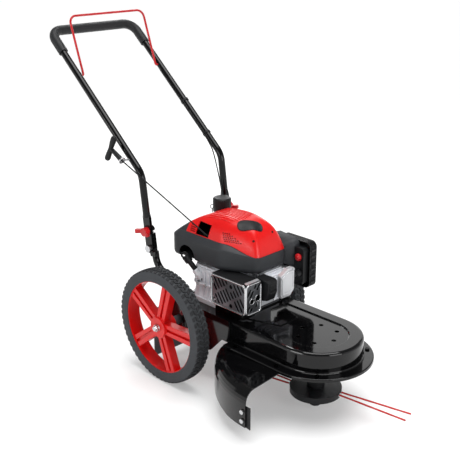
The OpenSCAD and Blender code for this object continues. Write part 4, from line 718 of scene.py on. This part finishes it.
def on_cover(tree, start, way):
    """Point and normal of the cover where a ray from a place by the engine meets it."""
    at, normal, _, _ = tree.ray_cast(at_engine(*start), way)
    if at is None:
        raise RuntimeError(f"the cover has no surface seen from {start}")
    return at, normal


def from_above(tree, x, y):
    return on_cover(tree, (x, y, BEYOND), -Z)


def from_near_side(tree, x, z):
    return on_cover(tree, (x, -BEYOND, z), Y)


def build_badge(tree):
    """A bare dark plate, rounded at both ends and edged by a low lip, laid on the cover's shoulder."""
    along = Vector((math.cos(BADGE_TURN), math.sin(BADGE_TURN))) * BADGE_LONG
    across = left_of(along.normalized()) * BADGE_WIDE
    edge = []
    for p in circle(X, Y, BADGE_STEPS):
        u, v = (math.copysign(abs(c) ** BADGE_POWER, c) for c in (p.x, p.y))
        edge.append(along * u + across * v)
    rings = []
    for share, lift in BADGE_ROWS:
        spots = [from_above(tree, *(BADGE_MID + p * share)) for p in edge]
        rings.append([at + normal * lift * MM for at, normal in spots])
    add_piece("cover_badge_plate", loft(rings), "satin_black")


def add_discs(name, spots, radius, finish_name):
    """Small dished discs set on the cover, one for each point and normal."""
    profile = [(radius * share, lift) for share, lift in DISC_ROWS]
    discs = [turned(profile, at, normal, DISC_STEPS) for at, normal in spots]
    add_piece(name, joined(discs), finish_name, sharp=40)


def build_vents(tree):
    """Fields of small vent holes on the cover's near side and two screws in front, all drawn as dished discs: the
    vents' dark red is painted shade inside the holes, and the screws' black is partly their heads and partly painted
    shade of their recesses.
    """
    spots = []
    for x, shift, pitch, z, rows, first, more in VENT_FIELDS:
        for row in range(rows):
            spots += [from_near_side(tree, x + row * shift + i * pitch, z - row * VENT_DROP)
                      for i in range(first + row * more)]
    add_discs("cover_vents", spots, VENT_R, "vent")
    # The screws' black is partly their heads and partly painted shade of the recesses they sit in
    add_discs("cover_screws", [from_above(tree, *p) for p in COVER_SCREWS], COVER_SCREW_R, "satin_black")


def build_crown_ribs(tree):
    """Slim ribs along the cover's crown, whose ends sink into it."""
    lifts = [RIB_SINK] + [RIB_LIFT] * (len(RIB_XS) - 2) + [RIB_SINK]
    ribs = []
    for y in RIB_YS:
        spots = [from_above(tree, x - RIB_SWEEP * abs(y), y) for x in RIB_XS]
        route = [at + normal * lift * MM for (at, normal), lift in zip(spots, lifts)]
        ribs.append(tube(route, RIB_R * MM, RIB_SIDES))
    add_piece("cover_ribs", joined(ribs), "red", sharp=50)


# Trim on the crankcase

CASE_CORNER, CASE_CORNER_R, CASE_ARC = Vector((-70, -60)), 22, 10
CASE_NEAR_Y, CASE_BACK_X = -82, -92
CASE_NEAR_XS, CASE_BACK_YS = range(21, -70, -13), range(-40, 61, 20)
# Mouldings along the wall: distance out, and height
CASE_BANDS = ([(-1, 13.8), (9, 13.8), (8.4, 20), (5, 32), (3, 46), (-1, 50)],
              [(-1, 51), (7, 51), (9, 53), (9, 58), (7, 60), (-1, 60)],
              [(-1, 95), (2.4, 96), (3, 99), (3, 105), (-1, 107)])
CASE_RIB_XS = (12, -6, -24, -42, -60)
CASE_RIB_ENDS = (((5, 60), (2.5, 97)), ((11, 14), (7.5, 52)))
CASE_RIB_ROOT, CASE_RIB_SIDE, CASE_RIB_FLAT, CASE_RIB_SINK, CASE_RIB_EASE = 1.8, 1.5, 0.6, 1, 0.6
CASE_SCREW_XS, CASE_SCREW_OUT, CASE_SCREW_Z = (4, -33, -66), 9, 55.5
HEX_HEAD, HEX_SIDES = ((6.4, -1), (6.4, 0.8), (4.6, 1), (4.6, 4), (4.1, 4.5)), 6
STICK_FOOT = Vector((-56, -72, 58))
STICK_WAY = Vector((-0.4503, -0.3778, 0.8090))
STICK_BOSS = ((15, 16), (15, 30), (13.5, 33), (12, 34), (11.5, 46), (10.5, 47.5), (8.2, 47.8))


def stack(axis, rows):
    """A solid through flat outlines; each row is a level along X, Y or Z (0, 1 or 2) and points of the other two."""
    return loft([engine_points([(*p[:axis], level, *p[axis:]) for p in points]) for level, points in rows])


def case_path(out):
    """The crankcase's near outline, set out by a distance, from the guard round the back corner."""
    near = [Vector((x, CASE_NEAR_Y - out)) for x in CASE_NEAR_XS]
    angles = [math.radians(270 - 90 * k / CASE_ARC) for k in range(CASE_ARC + 1)]
    arc = [CASE_CORNER + (CASE_CORNER_R + out) * Vector((math.cos(a), math.sin(a))) for a in angles]
    return near + arc + [Vector((CASE_BACK_X - out, y)) for y in CASE_BACK_YS]


def case_band(profile):
    """A moulding that runs along the crankcase."""
    rows = [[at_engine(*p, z) for p in case_path(out)] for out, z in profile]
    return loft(list(zip(*rows)))


def case_rib(x, ends):
    """An upright rib on the near wall between two (distance out, height) ends."""
    rows = []
    for out, z in ends:
        y = CASE_NEAR_Y - out
        half = [(CASE_RIB_ROOT, CASE_NEAR_Y + CASE_RIB_SINK), (CASE_RIB_SIDE, y + CASE_RIB_EASE), (CASE_RIB_FLAT, y)]
        rows.append((z, [(x - w, h) for w, h in half] + [(x + w, h) for w, h in reversed(half)]))
    return stack(2, rows)


def build_crankcase_trim():
    """Bands, ribs and the dipstick's boss on the crankcase, and three screws along its seam."""
    shapes = [case_band(profile) for profile in CASE_BANDS]
    shapes += [case_rib(x, ends) for x in CASE_RIB_XS for ends in CASE_RIB_ENDS]
    shapes.append(turned(STICK_BOSS, at_engine(*STICK_FOOT), STICK_WAY))
    add_piece("crankcase_mouldings", joined(shapes), "alloy")
    heads = [turned(HEX_HEAD, at_engine(x, CASE_NEAR_Y - CASE_SCREW_OUT, CASE_SCREW_Z), -Y, HEX_SIDES)
             for x in CASE_SCREW_XS]
    add_piece("crankcase_screws", joined(heads), "zinc")


# The slotted guard over the muffler

GUARD_LOW, GUARD_HIGH = [(p - ENGINE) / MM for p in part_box("muffler_guard")]
SHEET = 1.5
NEAR_CORNER, FRONT_CORNER, NEAR_RIM_CORNER, LID_CORNER = 13, 9, 12, 8
# How far the slots stay in from the sheet's edges: low and high along it, low and high up it
NEAR_SLOTS_IN, FRONT_SLOTS_IN = (7, 8, 6, 7), (6, 6, 6, 7)
SLOT_LEAN, SLOT_LONG, SLOT_WIDE, SLOT_GAP, SLOT_PITCH = 56, 39, 8.2, 5.5, 12.8
SLOT_BANDS, SLOT_ROWS, SLOT_LEAST_SHARE = 3, 9, 1.5
# Shares that a slot may lose at its start and end to clear a round hole
SLOT_TRIM_SHARES = ((0, 0), (0, 0.4), (0.4, 0), (0, 0.6), (0.6, 0))
HOLE_MARGIN, HOLE_STEP = 2, 15
BOLT_HOLES = [(Vector((102, 102)), 6.5), (Vector((102, 43)), 6.5)]
OUTLETS, OUTLET_BEAD = [(Vector((-95, 68)), 8.5), (Vector((-72, 72)), 10.5)], 1.0
# Inset of a lid's outline, and its depth under the guard's edge
LID_ROWS = ((1.2, 0.1), (0.2, 0.6), (0.2, 1.4), (1.2, 1.9))
BACK_IN, BACK_OUT, BACK_NEAR, BACK_SHORT = 0.2, 1.7, 9, 8
RIM_BAR_R, RIM_BAR_IN, RIM_BAR_PROUD = 2.7, 2, 0.6
# The lip over the front edge: places from the guard's front and top, and along its width from both ends
LIP_EDGE = ((-13, 2.4), (0.4, -1.2), (0.4, -2.6), (-13, 1.0))
LIP_NEAR, LIP_FAR = (7, 8), (-4, -3)


def pierced_sheet(outer, holes, to_world):
    """Vertices and faces of a flat sheet with holes; to_world takes (u, v, depth) in millimetres."""
    curve = bpy.data.curves.new("sheet", "CURVE")
    curve.dimensions = "2D"
    curve.fill_mode = "BOTH"
    curve.extrude = SHEET / 2
    for loop_points in [outer] + holes:
        line = curve.splines.new("POLY")
        line.points.add(len(loop_points) - 1)
        for point, (u, v) in zip(line.points, loop_points):
            point.co = (u, v, 0, 1)
        line.use_cyclic_u = True
    flat = bpy.data.objects.new("sheet", curve)
    mesh = flat.to_mesh()
    verts = [to_world(*v.co) for v in mesh.vertices]
    faces = [tuple(f.vertices) for f in mesh.polygons]
    flat.to_mesh_clear()
    bpy.data.objects.remove(flat)
    bpy.data.curves.remove(curve)
    return verts, faces


def slot_outline(mid, way, long, arc=5):
    """A round-ended slot in a sheet."""
    side = left_of(way)
    out = []
    for s in (1, -1):
        for k in range(arc + 1):
            a = math.radians(-90 + 180 * k / arc)
            p = mid + s * (way * ((long - SLOT_WIDE) / 2 + SLOT_WIDE / 2 * math.cos(a))
                           + side * SLOT_WIDE / 2 * math.sin(a))
            out.append((p.x, p.y))
    return out


def slot_field(low, high, lean, rounds):
    """Leaning slots in bands square to them, trimmed to a rectangle and kept off the round holes."""
    way = Vector((math.cos(math.radians(lean)), math.sin(math.radians(lean))))
    side = left_of(way)
    middle = (Vector(low) + Vector(high)) / 2
    slots = []
    for band in range(-SLOT_BANDS, SLOT_BANDS + 1):
        for k in range(-SLOT_ROWS, SLOT_ROWS + 1):
            mid = middle + side * SLOT_PITCH * k + way * (SLOT_LONG + SLOT_GAP) * band
            start, end = -SLOT_LONG / 2, SLOT_LONG / 2
            for axis in (0, 1):
                ends = sorted(((low[axis] - mid[axis]) / way[axis], (high[axis] - mid[axis]) / way[axis]))
                start, end = max(start, ends[0]), min(end, ends[1])
            for trim_start, trim_end in SLOT_TRIM_SHARES:
                first, last = start + (end - start) * trim_start, end - (end - start) * trim_end
                if last - first < SLOT_WIDE * SLOT_LEAST_SHARE:
                    continue
                points = slot_outline(mid + way * (first + last) / 2, way, last - first)
                if all((Vector(q) - c).length > r + HOLE_MARGIN for q in points for c, r in rounds):
                    slots.append(points)
                    break
    return slots


def slotted_sheet(low, high, corner, slots_in, lean, rounds, to_world):
    """A sheet with a field of slots and some round holes."""
    left, right, under, over = slots_in
    slots = slot_field((low[0] + left, low[1] + under), (high[0] - right, high[1] - over), lean, rounds)
    angles = [math.radians(a) for a in range(0, 360, HOLE_STEP)]
    holes = [[(c.x + r * math.cos(a), c.y + r * math.sin(a)) for a in angles] for c, r in rounds]
    return pierced_sheet(round_corners(low, high, corner), slots + holes, to_world)


def build_guard_sheet():
    """The near and the front sheet."""
    (x0, y0, z0), (x1, y1, z1) = GUARD_LOW, GUARD_HIGH
    near = slotted_sheet((x0, z0), (x1, z1), NEAR_CORNER, NEAR_SLOTS_IN, -SLOT_LEAN, BOLT_HOLES,
                         lambda u, v, d: at_engine(u, y0 + SHEET / 2 + d, v))
    front = slotted_sheet((y0, z0), (y1, z1), FRONT_CORNER, FRONT_SLOTS_IN, SLOT_LEAN, OUTLETS,
                          lambda u, v, d: at_engine(x1 - SHEET / 2 + d, u, v))
    sheet = add_piece("guard_sheet", joined([near, front]), "sheet")
    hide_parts("muffler_guard")


def build_guard_box():
    """The dark lid, floor and back wall behind the sheets."""
    (x0, y0, z0), (x1, y1, z1) = GUARD_LOW, GUARD_HIGH
    walls = []
    for edge, inward in ((z1, -1), (z0, 1)):
        walls.append(stack(2, [(edge + inward * deep, round_corners((x0, y0), (x1, y1), LID_CORNER, inset))
                               for inset, deep in LID_ROWS]))
    back = [(x0 + BACK_IN, y0 + BACK_NEAR), (x0 + BACK_OUT, y0 + BACK_NEAR), (x0 + BACK_OUT, y1), (x0 + BACK_IN, y1)]
    walls.append(stack(2, [(z, back) for z in (z0 + BACK_SHORT, z1 - BACK_SHORT)]))
    add_piece("guard_box", joined(walls), "burnt", sharp=35)


def build_guard_rim():
    """A lip over the front edge, rolled rims round both sheets, and a bead round each outlet."""
    (x0, y0, z0), (x1, y1, z1) = GUARD_LOW, GUARD_HIGH
    lip = [(x1 + x, z1 + z) for x, z in LIP_EDGE]
    lip_ys = [y0 + e for e in LIP_NEAR] + [y1 + e for e in LIP_FAR]
    add_piece("guard_lip", stack(1, [(y, lip) for y in lip_ys]), "polish")
    near = [(x, y0 - RIM_BAR_PROUD, z) for x, z in round_corners((x0, z0), (x1, z1), NEAR_RIM_CORNER, RIM_BAR_IN)]
    front = [(x1 + RIM_BAR_PROUD, y, z) for y, z in round_corners((y0, z0), (y1, z1), FRONT_CORNER, RIM_BAR_IN)]
    bars = [ring_bar(engine_points(rim), RIM_BAR_R, normal) for rim, normal in ((near, Y), (front, X))]
    bars += [round_loop(at_engine(x1, *c), X, r, OUTLET_BEAD) for c, r in OUTLETS]
    add_piece("guard_rim", joined(bars), "chrome", sharp=35)


# Trim by the guard and on the cylinder head

TRAY_PATH = [Vector(p) for p in ((18, -97.2), (116, -97.2), (128, -94), (131, -84), (131, -52))]
# Distance out of the path, and height
TRAY_PROFILE = ((0, 0.4), (1.6, 0.4), (1.6, 24), (4.5, 26.5), (4.5, 28), (0.6, 27.2), (0, 25))
HOOD_EDGE = [Vector(p) for p in ((134, 122), (180, 122), (186, 116), (186, 84), (177, 60), (134, 50))]
HOOD_MID = Vector((160, 88))
# Place across the engine, and share of the edge
HOOD_ROWS = ((-16.6, 0.94), (-17.8, 1.0), (-46, 1.0), (-50.5, 0.97), (-52.2, 0.9))
HOOD_RIB_ZS, HOOD_RIB_YS, HOOD_RIB_HALF, HOOD_RIB_CORNER = (84, 97, 110), (-48, -21), 2, 1.2
# Place along the engine, and inset of a rib's outline
HOOD_RIB_ROWS = ((184, 0), (187, 0), (187.6, 0.6))
PANEL_EDGE = [Vector(p) for p in ((-8, 58), (32.6, 58), (48, 73.4), (48, 142), (22.8, 142), (-8, 126.6))]
PANEL_MID, PANEL_CORNER, PANEL_CORNER_SHARES = Vector((20, 100)), 5, (0, 0.25, 0.5, 0.75, 1)
# Place along the engine, and share of the edge
PANEL_ROWS = ((191.6, 0.84), (194.2, 0.84), (195.4, 0.81), (195.6, 0.74), (195.2, 0.69), (194.0, 0.66), (194.2, 0.3))
PANEL_SCREWS, PANEL_SCREW_X = ((-3.6, 64), (42.8, 80), (42.8, 136.5), (-3.6, 119)), 192
ROUND_HEAD, ROUND_HEAD_STEPS = ((3.8, -1), (3.8, 2.4), (3.2, 3), (1.8, 3), (1.6, 1.8)), 12


def build_heat_tray():
    """The black tray under the guard that hides the engine's foot."""
    rings = []
    for i, p in enumerate(TRAY_PATH):
        before, after = TRAY_PATH[max(i - 1, 0)], TRAY_PATH[min(i + 1, len(TRAY_PATH) - 1)]
        out = -left_of((after - before).normalized())
        rings.append([at_engine(*(p + out * e), z) for e, z in TRAY_PROFILE])
    add_piece("heat_tray", loft(rings), "gloss_black")


def raised_bar(ys, z, half, corner, rows):
    """A low bar on a face that looks along X; each row is a place along the engine and an inset."""
    return stack(0, [(x, round_corners((ys[0], z - half), (ys[1], z + half), corner, inset)) for x, inset in rows])


def build_baffle():
    """The cooling baffle beside the cylinder: a moulded hood with three ribs."""
    shapes = [stack(1, [(y, [HOOD_MID + (p - HOOD_MID) * share for p in HOOD_EDGE]) for y, share in HOOD_ROWS])]
    shapes += [raised_bar(HOOD_RIB_YS, z, HOOD_RIB_HALF, HOOD_RIB_CORNER, HOOD_RIB_ROWS) for z in HOOD_RIB_ZS]
    hood = add_piece("cylinder_hood", joined(shapes), "satin_black")
    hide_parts("head_baffle")


def build_valve_trim():
    """A raised panel and four screws on the valve cover."""
    edge = [p - PANEL_MID for p in PANEL_EDGE]
    ring = []
    for i, p in enumerate(edge):
        d1, d2 = [(q - p).normalized() * PANEL_CORNER for q in (edge[i - 1], edge[(i + 1) % len(edge)])]
        ring += [p + d1 * (1 - t) ** 2 + d2 * t ** 2 for t in PANEL_CORNER_SHARES]
    panel = stack(0, [(x, [PANEL_MID + p * share for p in ring]) for x, share in PANEL_ROWS])
    add_piece("valve_cover_panel", panel, "polish", sharp=28)
    heads = [turned(ROUND_HEAD, at_engine(PANEL_SCREW_X, y, z), X, ROUND_HEAD_STEPS) for y, z in PANEL_SCREWS]
    add_piece("valve_cover_screws", joined(heads), "zinc")


# Air filter, dipstick and fuel cap

# Place across the engine, low and high corner of the outline, and its corner's radius
DUCT_ROWS = ((74, (34, 130), (128, 186), 16), (92, (42, 122), (143, 198), 16),
             (104, (52, 114), (148, 203), 15), (119.6, (62, 108), (148, 204), 14))
DUCT_FALL_X, DUCT_FALL = 70, 0.1
FILTER_RIB_ZS, FILTER_RIB_YS, FILTER_RIB_HALF, FILTER_RIB_CORNER = range(68, 169, 20), (123.5, 145.5), 3.4, 2.4
FILTER_RIB_ROWS = ((189, 0), (191.4, 0), (192.2, 0.8))
PULL_RING_UP, PULL_RING_R, PULL_RING_BAR = 101, 8.5, 3
TETHER_EYE, TETHER_EYE_R, TETHER_EYE_BAR = (-141, 42, 247), 6, 1.1
TETHER_STEM_R, TETHER_STEM_SIDES, TETHER_STEM_FOOT, TETHER_STEM_TOP = 1.6, 10, 18, 5.5


def build_filter_duct():
    """The moulded duct between the housing and the air filter, and the ribs of the filter's cover."""
    rows = [(y, [(x, z - max(0, x - DUCT_FALL_X) * DUCT_FALL) for x, z in round_corners(low, high, corner)])
            for y, low, high, corner in DUCT_ROWS]
    add_piece("filter_duct", stack(1, rows), "charcoal", sharp=40)
    bars = [raised_bar(FILTER_RIB_YS, z, FILTER_RIB_HALF, FILTER_RIB_CORNER, FILTER_RIB_ROWS) for z in FILTER_RIB_ZS]
    add_piece("filter_cover_ribs", joined(bars), "satin_black", sharp=35)


def build_cap_rings():
    """The pull ring on the dipstick's cap and the tether eye by the fuel cap."""
    top = at_engine(*(STICK_FOOT + STICK_WAY * PULL_RING_UP))
    across = STICK_WAY.cross(Z).normalized()
    add_piece("dipstick_pull_ring", round_loop(top, across, PULL_RING_R, PULL_RING_BAR), "satin_black",
              "stick", 50)
    eye = at_engine(*TETHER_EYE)
    stem = tube([eye - Z * d * MM for d in (TETHER_STEM_FOOT, TETHER_STEM_TOP)], TETHER_STEM_R * MM,
                TETHER_STEM_SIDES)
    ring = round_loop(eye, (X - Y).normalized(), TETHER_EYE_R, TETHER_EYE_BAR)
    add_piece("cap_tether_eye", joined([ring, stem]), "satin_black", sharp=50)


# Cords: rope and cable follow the routes of their solids, in millimetres

ROPE_ROUTE = [(-587.9, -203, 643.6), (-493.5, -140.5, 547.9), (-417.8, -90.6, 471), (-398.9, -78, 451.9),
              (-360, -70.5, 431), (-325, -63.5, 426)]
CABLE_ROUTE = [(-820.2, 148.5, 838.3), (-780, 148.5, 803.2), (-700.1, 148.5, 733.6), (-640.3, 148.5, 681.3),
               (-601.9, 148.5, 647.9)]
TAIL_ROUTE = [(-601.6, 148.5, 647.6), (-573.6, 148.5, 611.7), (-549.7, 147.5, 549.6), (-531.6, 146.4, 489.7),
              (-511.7, 138.3, 439.9), (-479.9, 122, 404.9), (-439.9, 109.7, 385.1), (-410, 100.5, 380)]
ROPE_STEPS, CABLE_STEPS, ROPE_SIDES, CABLE_SIDES = 12, 10, 12, 14
PULL_RISE, PULL_PLACES = math.radians(28), (-3, 0, 3, 8, 14, 20)
# Cutting lines: angle and distance from the head's axis, at the eyelet and at the tip
LINE_ENDS = [((26, 74), (15.8, 280)), ((13.5, 74), (8, 280))]
LINE_Z, LINE_ROOT_IN, LINE_STEPS, LINE_SIDES = 50, 14, 60, 16
LINE_LOBES, LINE_LOBE_DEPTH, LINE_LOBE_TWIST = 4, 0.07, 0.35
CORD_SHARP = 60


def smooth_route(route, steps):
    return spline([Vector(p) * MM for p in route], steps)


def add_cord(name, route, width, sides, finish_name, body=None):
    return add_piece(name, tube(route, width / 2, sides), finish_name, body, CORD_SHARP)


def build_rope(sizes):
    """The starter rope from the reel to its guide, and its short end that follows the grip."""
    rope = smooth_route(ROPE_ROUTE, ROPE_STEPS)
    piece = add_cord("starter_rope_run", rope, sizes.rope_width, ROPE_SIDES, "cord")
    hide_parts("starter_rope")
    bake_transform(piece)
    pull = Vector((-math.cos(PULL_RISE), 0, math.sin(PULL_RISE)))
    short = [rope[0] + pull * d * MM for d in PULL_PLACES]
    piece = add_cord("starter_rope_pull", short, sizes.rope_width, ROPE_SIDES, "cord")
    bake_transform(piece)


def build_cable(sizes):
    """The brake cable along the handle, and its loop down to the engine."""
    cable = smooth_route(CABLE_ROUTE, CABLE_STEPS)
    piece = add_cord("brake_cable_run", cable, sizes.cable_width, CABLE_SIDES, "jacket", "handle")
    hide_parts("brake_cable")
    tail = smooth_route(TAIL_ROUTE, CABLE_STEPS)
    piece = add_cord("brake_cable_loop", tail, sizes.cable_width, CABLE_SIDES, "jacket")
    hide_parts("brake_cable_tail")
    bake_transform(piece)


def lobed_tube(route, radius):
    """A tube whose section has twisting lobes."""
    verts, faces = tube(route, radius, LINE_SIDES)
    for i, p in enumerate(verts):
        row, k = divmod(i, LINE_SIDES)
        wave = math.cos(LINE_LOBES * 2 * math.pi * k / LINE_SIDES + LINE_LOBE_TWIST * row)
        verts[i] = route[row] + (p - route[row]) * (1 + LINE_LOBE_DEPTH * (wave - 1))
    return verts, faces


def build_lines(sizes):
    """Four lengths of lobed line, two on each side of the head."""
    pieces = []
    for half in (0, 180):
        for ends in LINE_ENDS:
            a, b = [Vector((r * math.cos(math.radians(t + half)), r * math.sin(math.radians(t + half)), LINE_Z)) * MM
                    for t, r in ends]
            start = a - (b - a).normalized() * LINE_ROOT_IN * MM
            route = [start + (b - start) * k / LINE_STEPS for k in range(LINE_STEPS + 1)]
            piece = add_piece(f"cutting_line_{len(pieces) + 1}", lobed_tube(route, sizes.line_width / 2), "line",
                              "cutter", CORD_SHARP)
            pieces.append(piece)
    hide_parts("cutting_lines")


# Stage, in metres

CAMERA_AT = Vector((1.3533, -1.6877, 1.3073))
CAMERA_BACK = Vector((0.66705, -0.66250, 0.34081))
SENSOR, CLIP_END = 36, 1000
FLOOR_HALF, FLOOR_GLOW = 300, 0.3
WALL_R, WALL_RISE, WALL_STEPS, WALL_GLOW = 60, 20, 48, 1.0
PAPER_ROUGH, WORLD_LIGHT = 0.9, 0.25
# The overhead light: place, aim, strength, and spread in degrees
OVERHEAD = ((0.3, 0.1, 3.0), (0, 0, 0), 2.8, 46)
# Panels of light: place, aim, power in watts, width and height
PANELS = {
    "near_strip": ((-0.7, -2.8, 1.3), (-0.35, 0, 0.4), 18, 2.6, 0.24),
    "front_panel": ((3.0, -0.3, 1.4), (-0.2, 0, 0.35), 30, 1.6, 1.4),
    "back_strip": ((-2.4, 1.8, 2.2), (-0.4, 0, 0.5), 22, 0.35, 2.2),
    "back_glow": ((-2.0, 2.3, 1.2), (0, 0, 0.3), 10, 1.9, 1.4),
}


def glowing_paper(name, c, glow_share):
    """White paper that glows a little for seen, mirrored and transmitted rays, and only takes light for the rest."""
    f = Finish(name)
    f.fill(f.shader, {"Base Color": dimmed(c.floor), "Roughness": PAPER_ROUGH})
    path = f.add("ShaderNodeLightPath", {}).outputs
    shown = path["Is Camera Ray"]
    for ray in ("Is Glossy Ray", "Is Transmission Ray"):
        shown = f.reckon("MAXIMUM", shown, path[ray])
    glow = f.add("ShaderNodeEmission", {}).outputs[0]
    mix = f.add("ShaderNodeMixShader", {0: f.reckon("MULTIPLY", shown, glow_share), 1: f.shader.outputs[0], 2: glow})
    f.fill(f.tree.nodes["Material Output"], {"Surface": mix.outputs[0]})
    return f.material


def build_floor(c):
    """A wide paper floor, and a round backdrop that lights and shades nothing."""
    h, n = FLOOR_HALF, WALL_STEPS
    floor = add_mesh("studio_floor", [(-h, -h, 0), (h, -h, 0), (h, h, 0), (-h, h, 0)], [(0, 1, 2, 3)])
    floor.data.materials.append(glowing_paper("studio_floor", c, FLOOR_GLOW))
    posts = [p * WALL_R + Z * z for p in circle(X, Y, n) for z in (0, WALL_RISE)]
    wall = add_mesh("studio_backdrop", posts,
                    [(2 * k, 2 * k + 1, 2 * ((k + 1) % n) + 1, 2 * ((k + 1) % n)) for k in range(n)])
    wall.data.materials.append(glowing_paper("studio_backdrop", c, WALL_GLOW))
    wall.visible_diffuse = wall.visible_shadow = False


def build_world():
    world = bpy.data.worlds.new("studio")
    bpy.context.scene.world = world
    world.use_nodes = True
    back = world.node_tree.nodes["Background"]
    back.inputs["Color"].default_value = (1, 1, 1, 1)
    back.inputs["Strength"].default_value = WORLD_LIGHT


def add_aimed(name, data, at, way):
    """A lamp or camera at a place, looking along a direction."""
    obj = bpy.data.objects.new(name, data)
    obj.location = at
    obj.rotation_euler = way.to_track_quat("-Z", "Y").to_euler()
    bpy.context.scene.collection.objects.link(obj)
    return obj


def add_lamp(name, kind, at, aim, energy, **values):
    data = bpy.data.lights.new(name, kind)
    data.energy = energy
    for key, value in values.items():
        setattr(data, key, value)
    add_aimed(name, data, at, Vector(aim) - Vector(at))


def build_lights():
    """A wide soft light that reaches the whole floor evenly, and four panels."""
    at, aim, strength, spread = OVERHEAD
    add_lamp("overhead", "SUN", at, aim, strength, angle=math.radians(spread))
    for name, (at, aim, power, wide, tall) in PANELS.items():
        add_lamp(name, "AREA", at, aim, power, shape="RECTANGLE", size=wide, size_y=tall)


def build_camera(lens):
    data = bpy.data.cameras.new("photo_camera")
    data.lens = lens
    data.sensor_width = SENSOR
    data.clip_end = CLIP_END
    bpy.context.scene.camera = add_aimed("photo_camera", data, CAMERA_AT, -CAMERA_BACK)


# Add-on

class TrimmerSettings(bpy.types.PropertyGroup):
    colours: bpy.props.PointerProperty(type=TrimmerColours, name="Colours", description="Colours of the finishes")
    sizes: bpy.props.PointerProperty(type=TrimmerSizes, name="Sizes", description="Sizes of the dressed pieces")


class TRIMMER_OT_stage(bpy.types.Operator):
    """Sets the floor, the light and the camera"""
    bl_idname = "trimmer.stage"
    bl_label = "Stage"

    def execute(self, context):
        context.scene.view_settings.view_transform = "Standard"
        build_floor(context.scene.trimmer.colours)
        build_world()
        build_lights()
        build_camera(context.scene.trimmer.sizes.lens)
        return {"FINISHED"}


class TRIMMER_OT_finishes(bpy.types.Operator):
    """Makes the finishes and dresses the solids that keep their shape"""
    bl_idname = "trimmer.finishes"
    bl_label = "Finishes"

    def execute(self, context):
        finishes.update(make_finishes(context.scene.trimmer.colours))
        dress_nodes()
        return {"FINISHED"}


class TRIMMER_OT_cords(bpy.types.Operator):
    """Makes the starter rope, the brake cable and the cutting lines"""
    bl_idname = "trimmer.cords"
    bl_label = "Cords"

    def execute(self, context):
        for build in (build_rope, build_cable, build_lines):
            build(context.scene.trimmer.sizes)
        return {"FINISHED"}


class TRIMMER_OT_tyres(bpy.types.Operator):
    """Makes both tyres with their tread blocks"""
    bl_idname = "trimmer.tyres"
    bl_label = "Tyres"

    def execute(self, context):
        for name, outward in (("right", -1), ("left", 1)):
            build_tyre(name, outward, context.scene.trimmer.sizes)
        return {"FINISHED"}


class TRIMMER_OT_housing(bpy.types.Operator):
    """Makes the blower housing, the red cover and the cover's trim"""
    bl_idname = "trimmer.housing"
    bl_label = "Engine housing"

    def execute(self, context):
        wall = context.scene.trimmer.sizes.cover_wall / MM
        build_cowl(wall)
        tree = surface_of(build_cover(wall))
        for build in (build_badge, build_vents, build_crown_ribs):
            build(tree)
        return {"FINISHED"}


class TRIMMER_OT_engine_trim(bpy.types.Operator):
    """Makes the crankcase's mouldings, the guard, tray and hood, the valve cover's panel, the duct and the rings"""
    bl_idname = "trimmer.engine_trim"
    bl_label = "Engine trim"

    def execute(self, context):
        for build in (build_crankcase_trim, build_guard_sheet, build_guard_box, build_guard_rim, build_heat_tray,
                      build_baffle, build_valve_trim, build_filter_duct, build_cap_rings):
            build()
        return {"FINISHED"}


STEPS = (TRIMMER_OT_stage, TRIMMER_OT_finishes, TRIMMER_OT_cords, TRIMMER_OT_tyres, TRIMMER_OT_housing,
         TRIMMER_OT_engine_trim)


class TRIMMER_PT_sidebar(bpy.types.Panel):
    """Lists the steps that dress the trimmer"""
    bl_idname = "TRIMMER_PT_sidebar"
    bl_label = "Wheeled string trimmer"
    bl_space_type = "VIEW_3D"
    bl_region_type = "UI"
    bl_category = "Trimmer"

    def draw(self, context):
        for step in STEPS:
            self.layout.operator(step.bl_idname)
        for group in (context.scene.trimmer.sizes, context.scene.trimmer.colours):
            for name in group.__annotations__:
                self.layout.prop(group, name)


CLASSES = (TrimmerColours, TrimmerSizes, TrimmerSettings, *STEPS, TRIMMER_PT_sidebar)


def register():
    for cls in CLASSES:
        bpy.utils.register_class(cls)
    bpy.types.Scene.trimmer = bpy.props.PointerProperty(type=TrimmerSettings)


def unregister():
    del bpy.types.Scene.trimmer
    for cls in reversed(CLASSES):
        bpy.utils.unregister_class(cls)


def main():
    register()
    for step in STEPS:
        area, name = step.bl_idname.split(".")
        getattr(getattr(bpy.ops, area), name)()


if __name__ == "__main__":
    main()
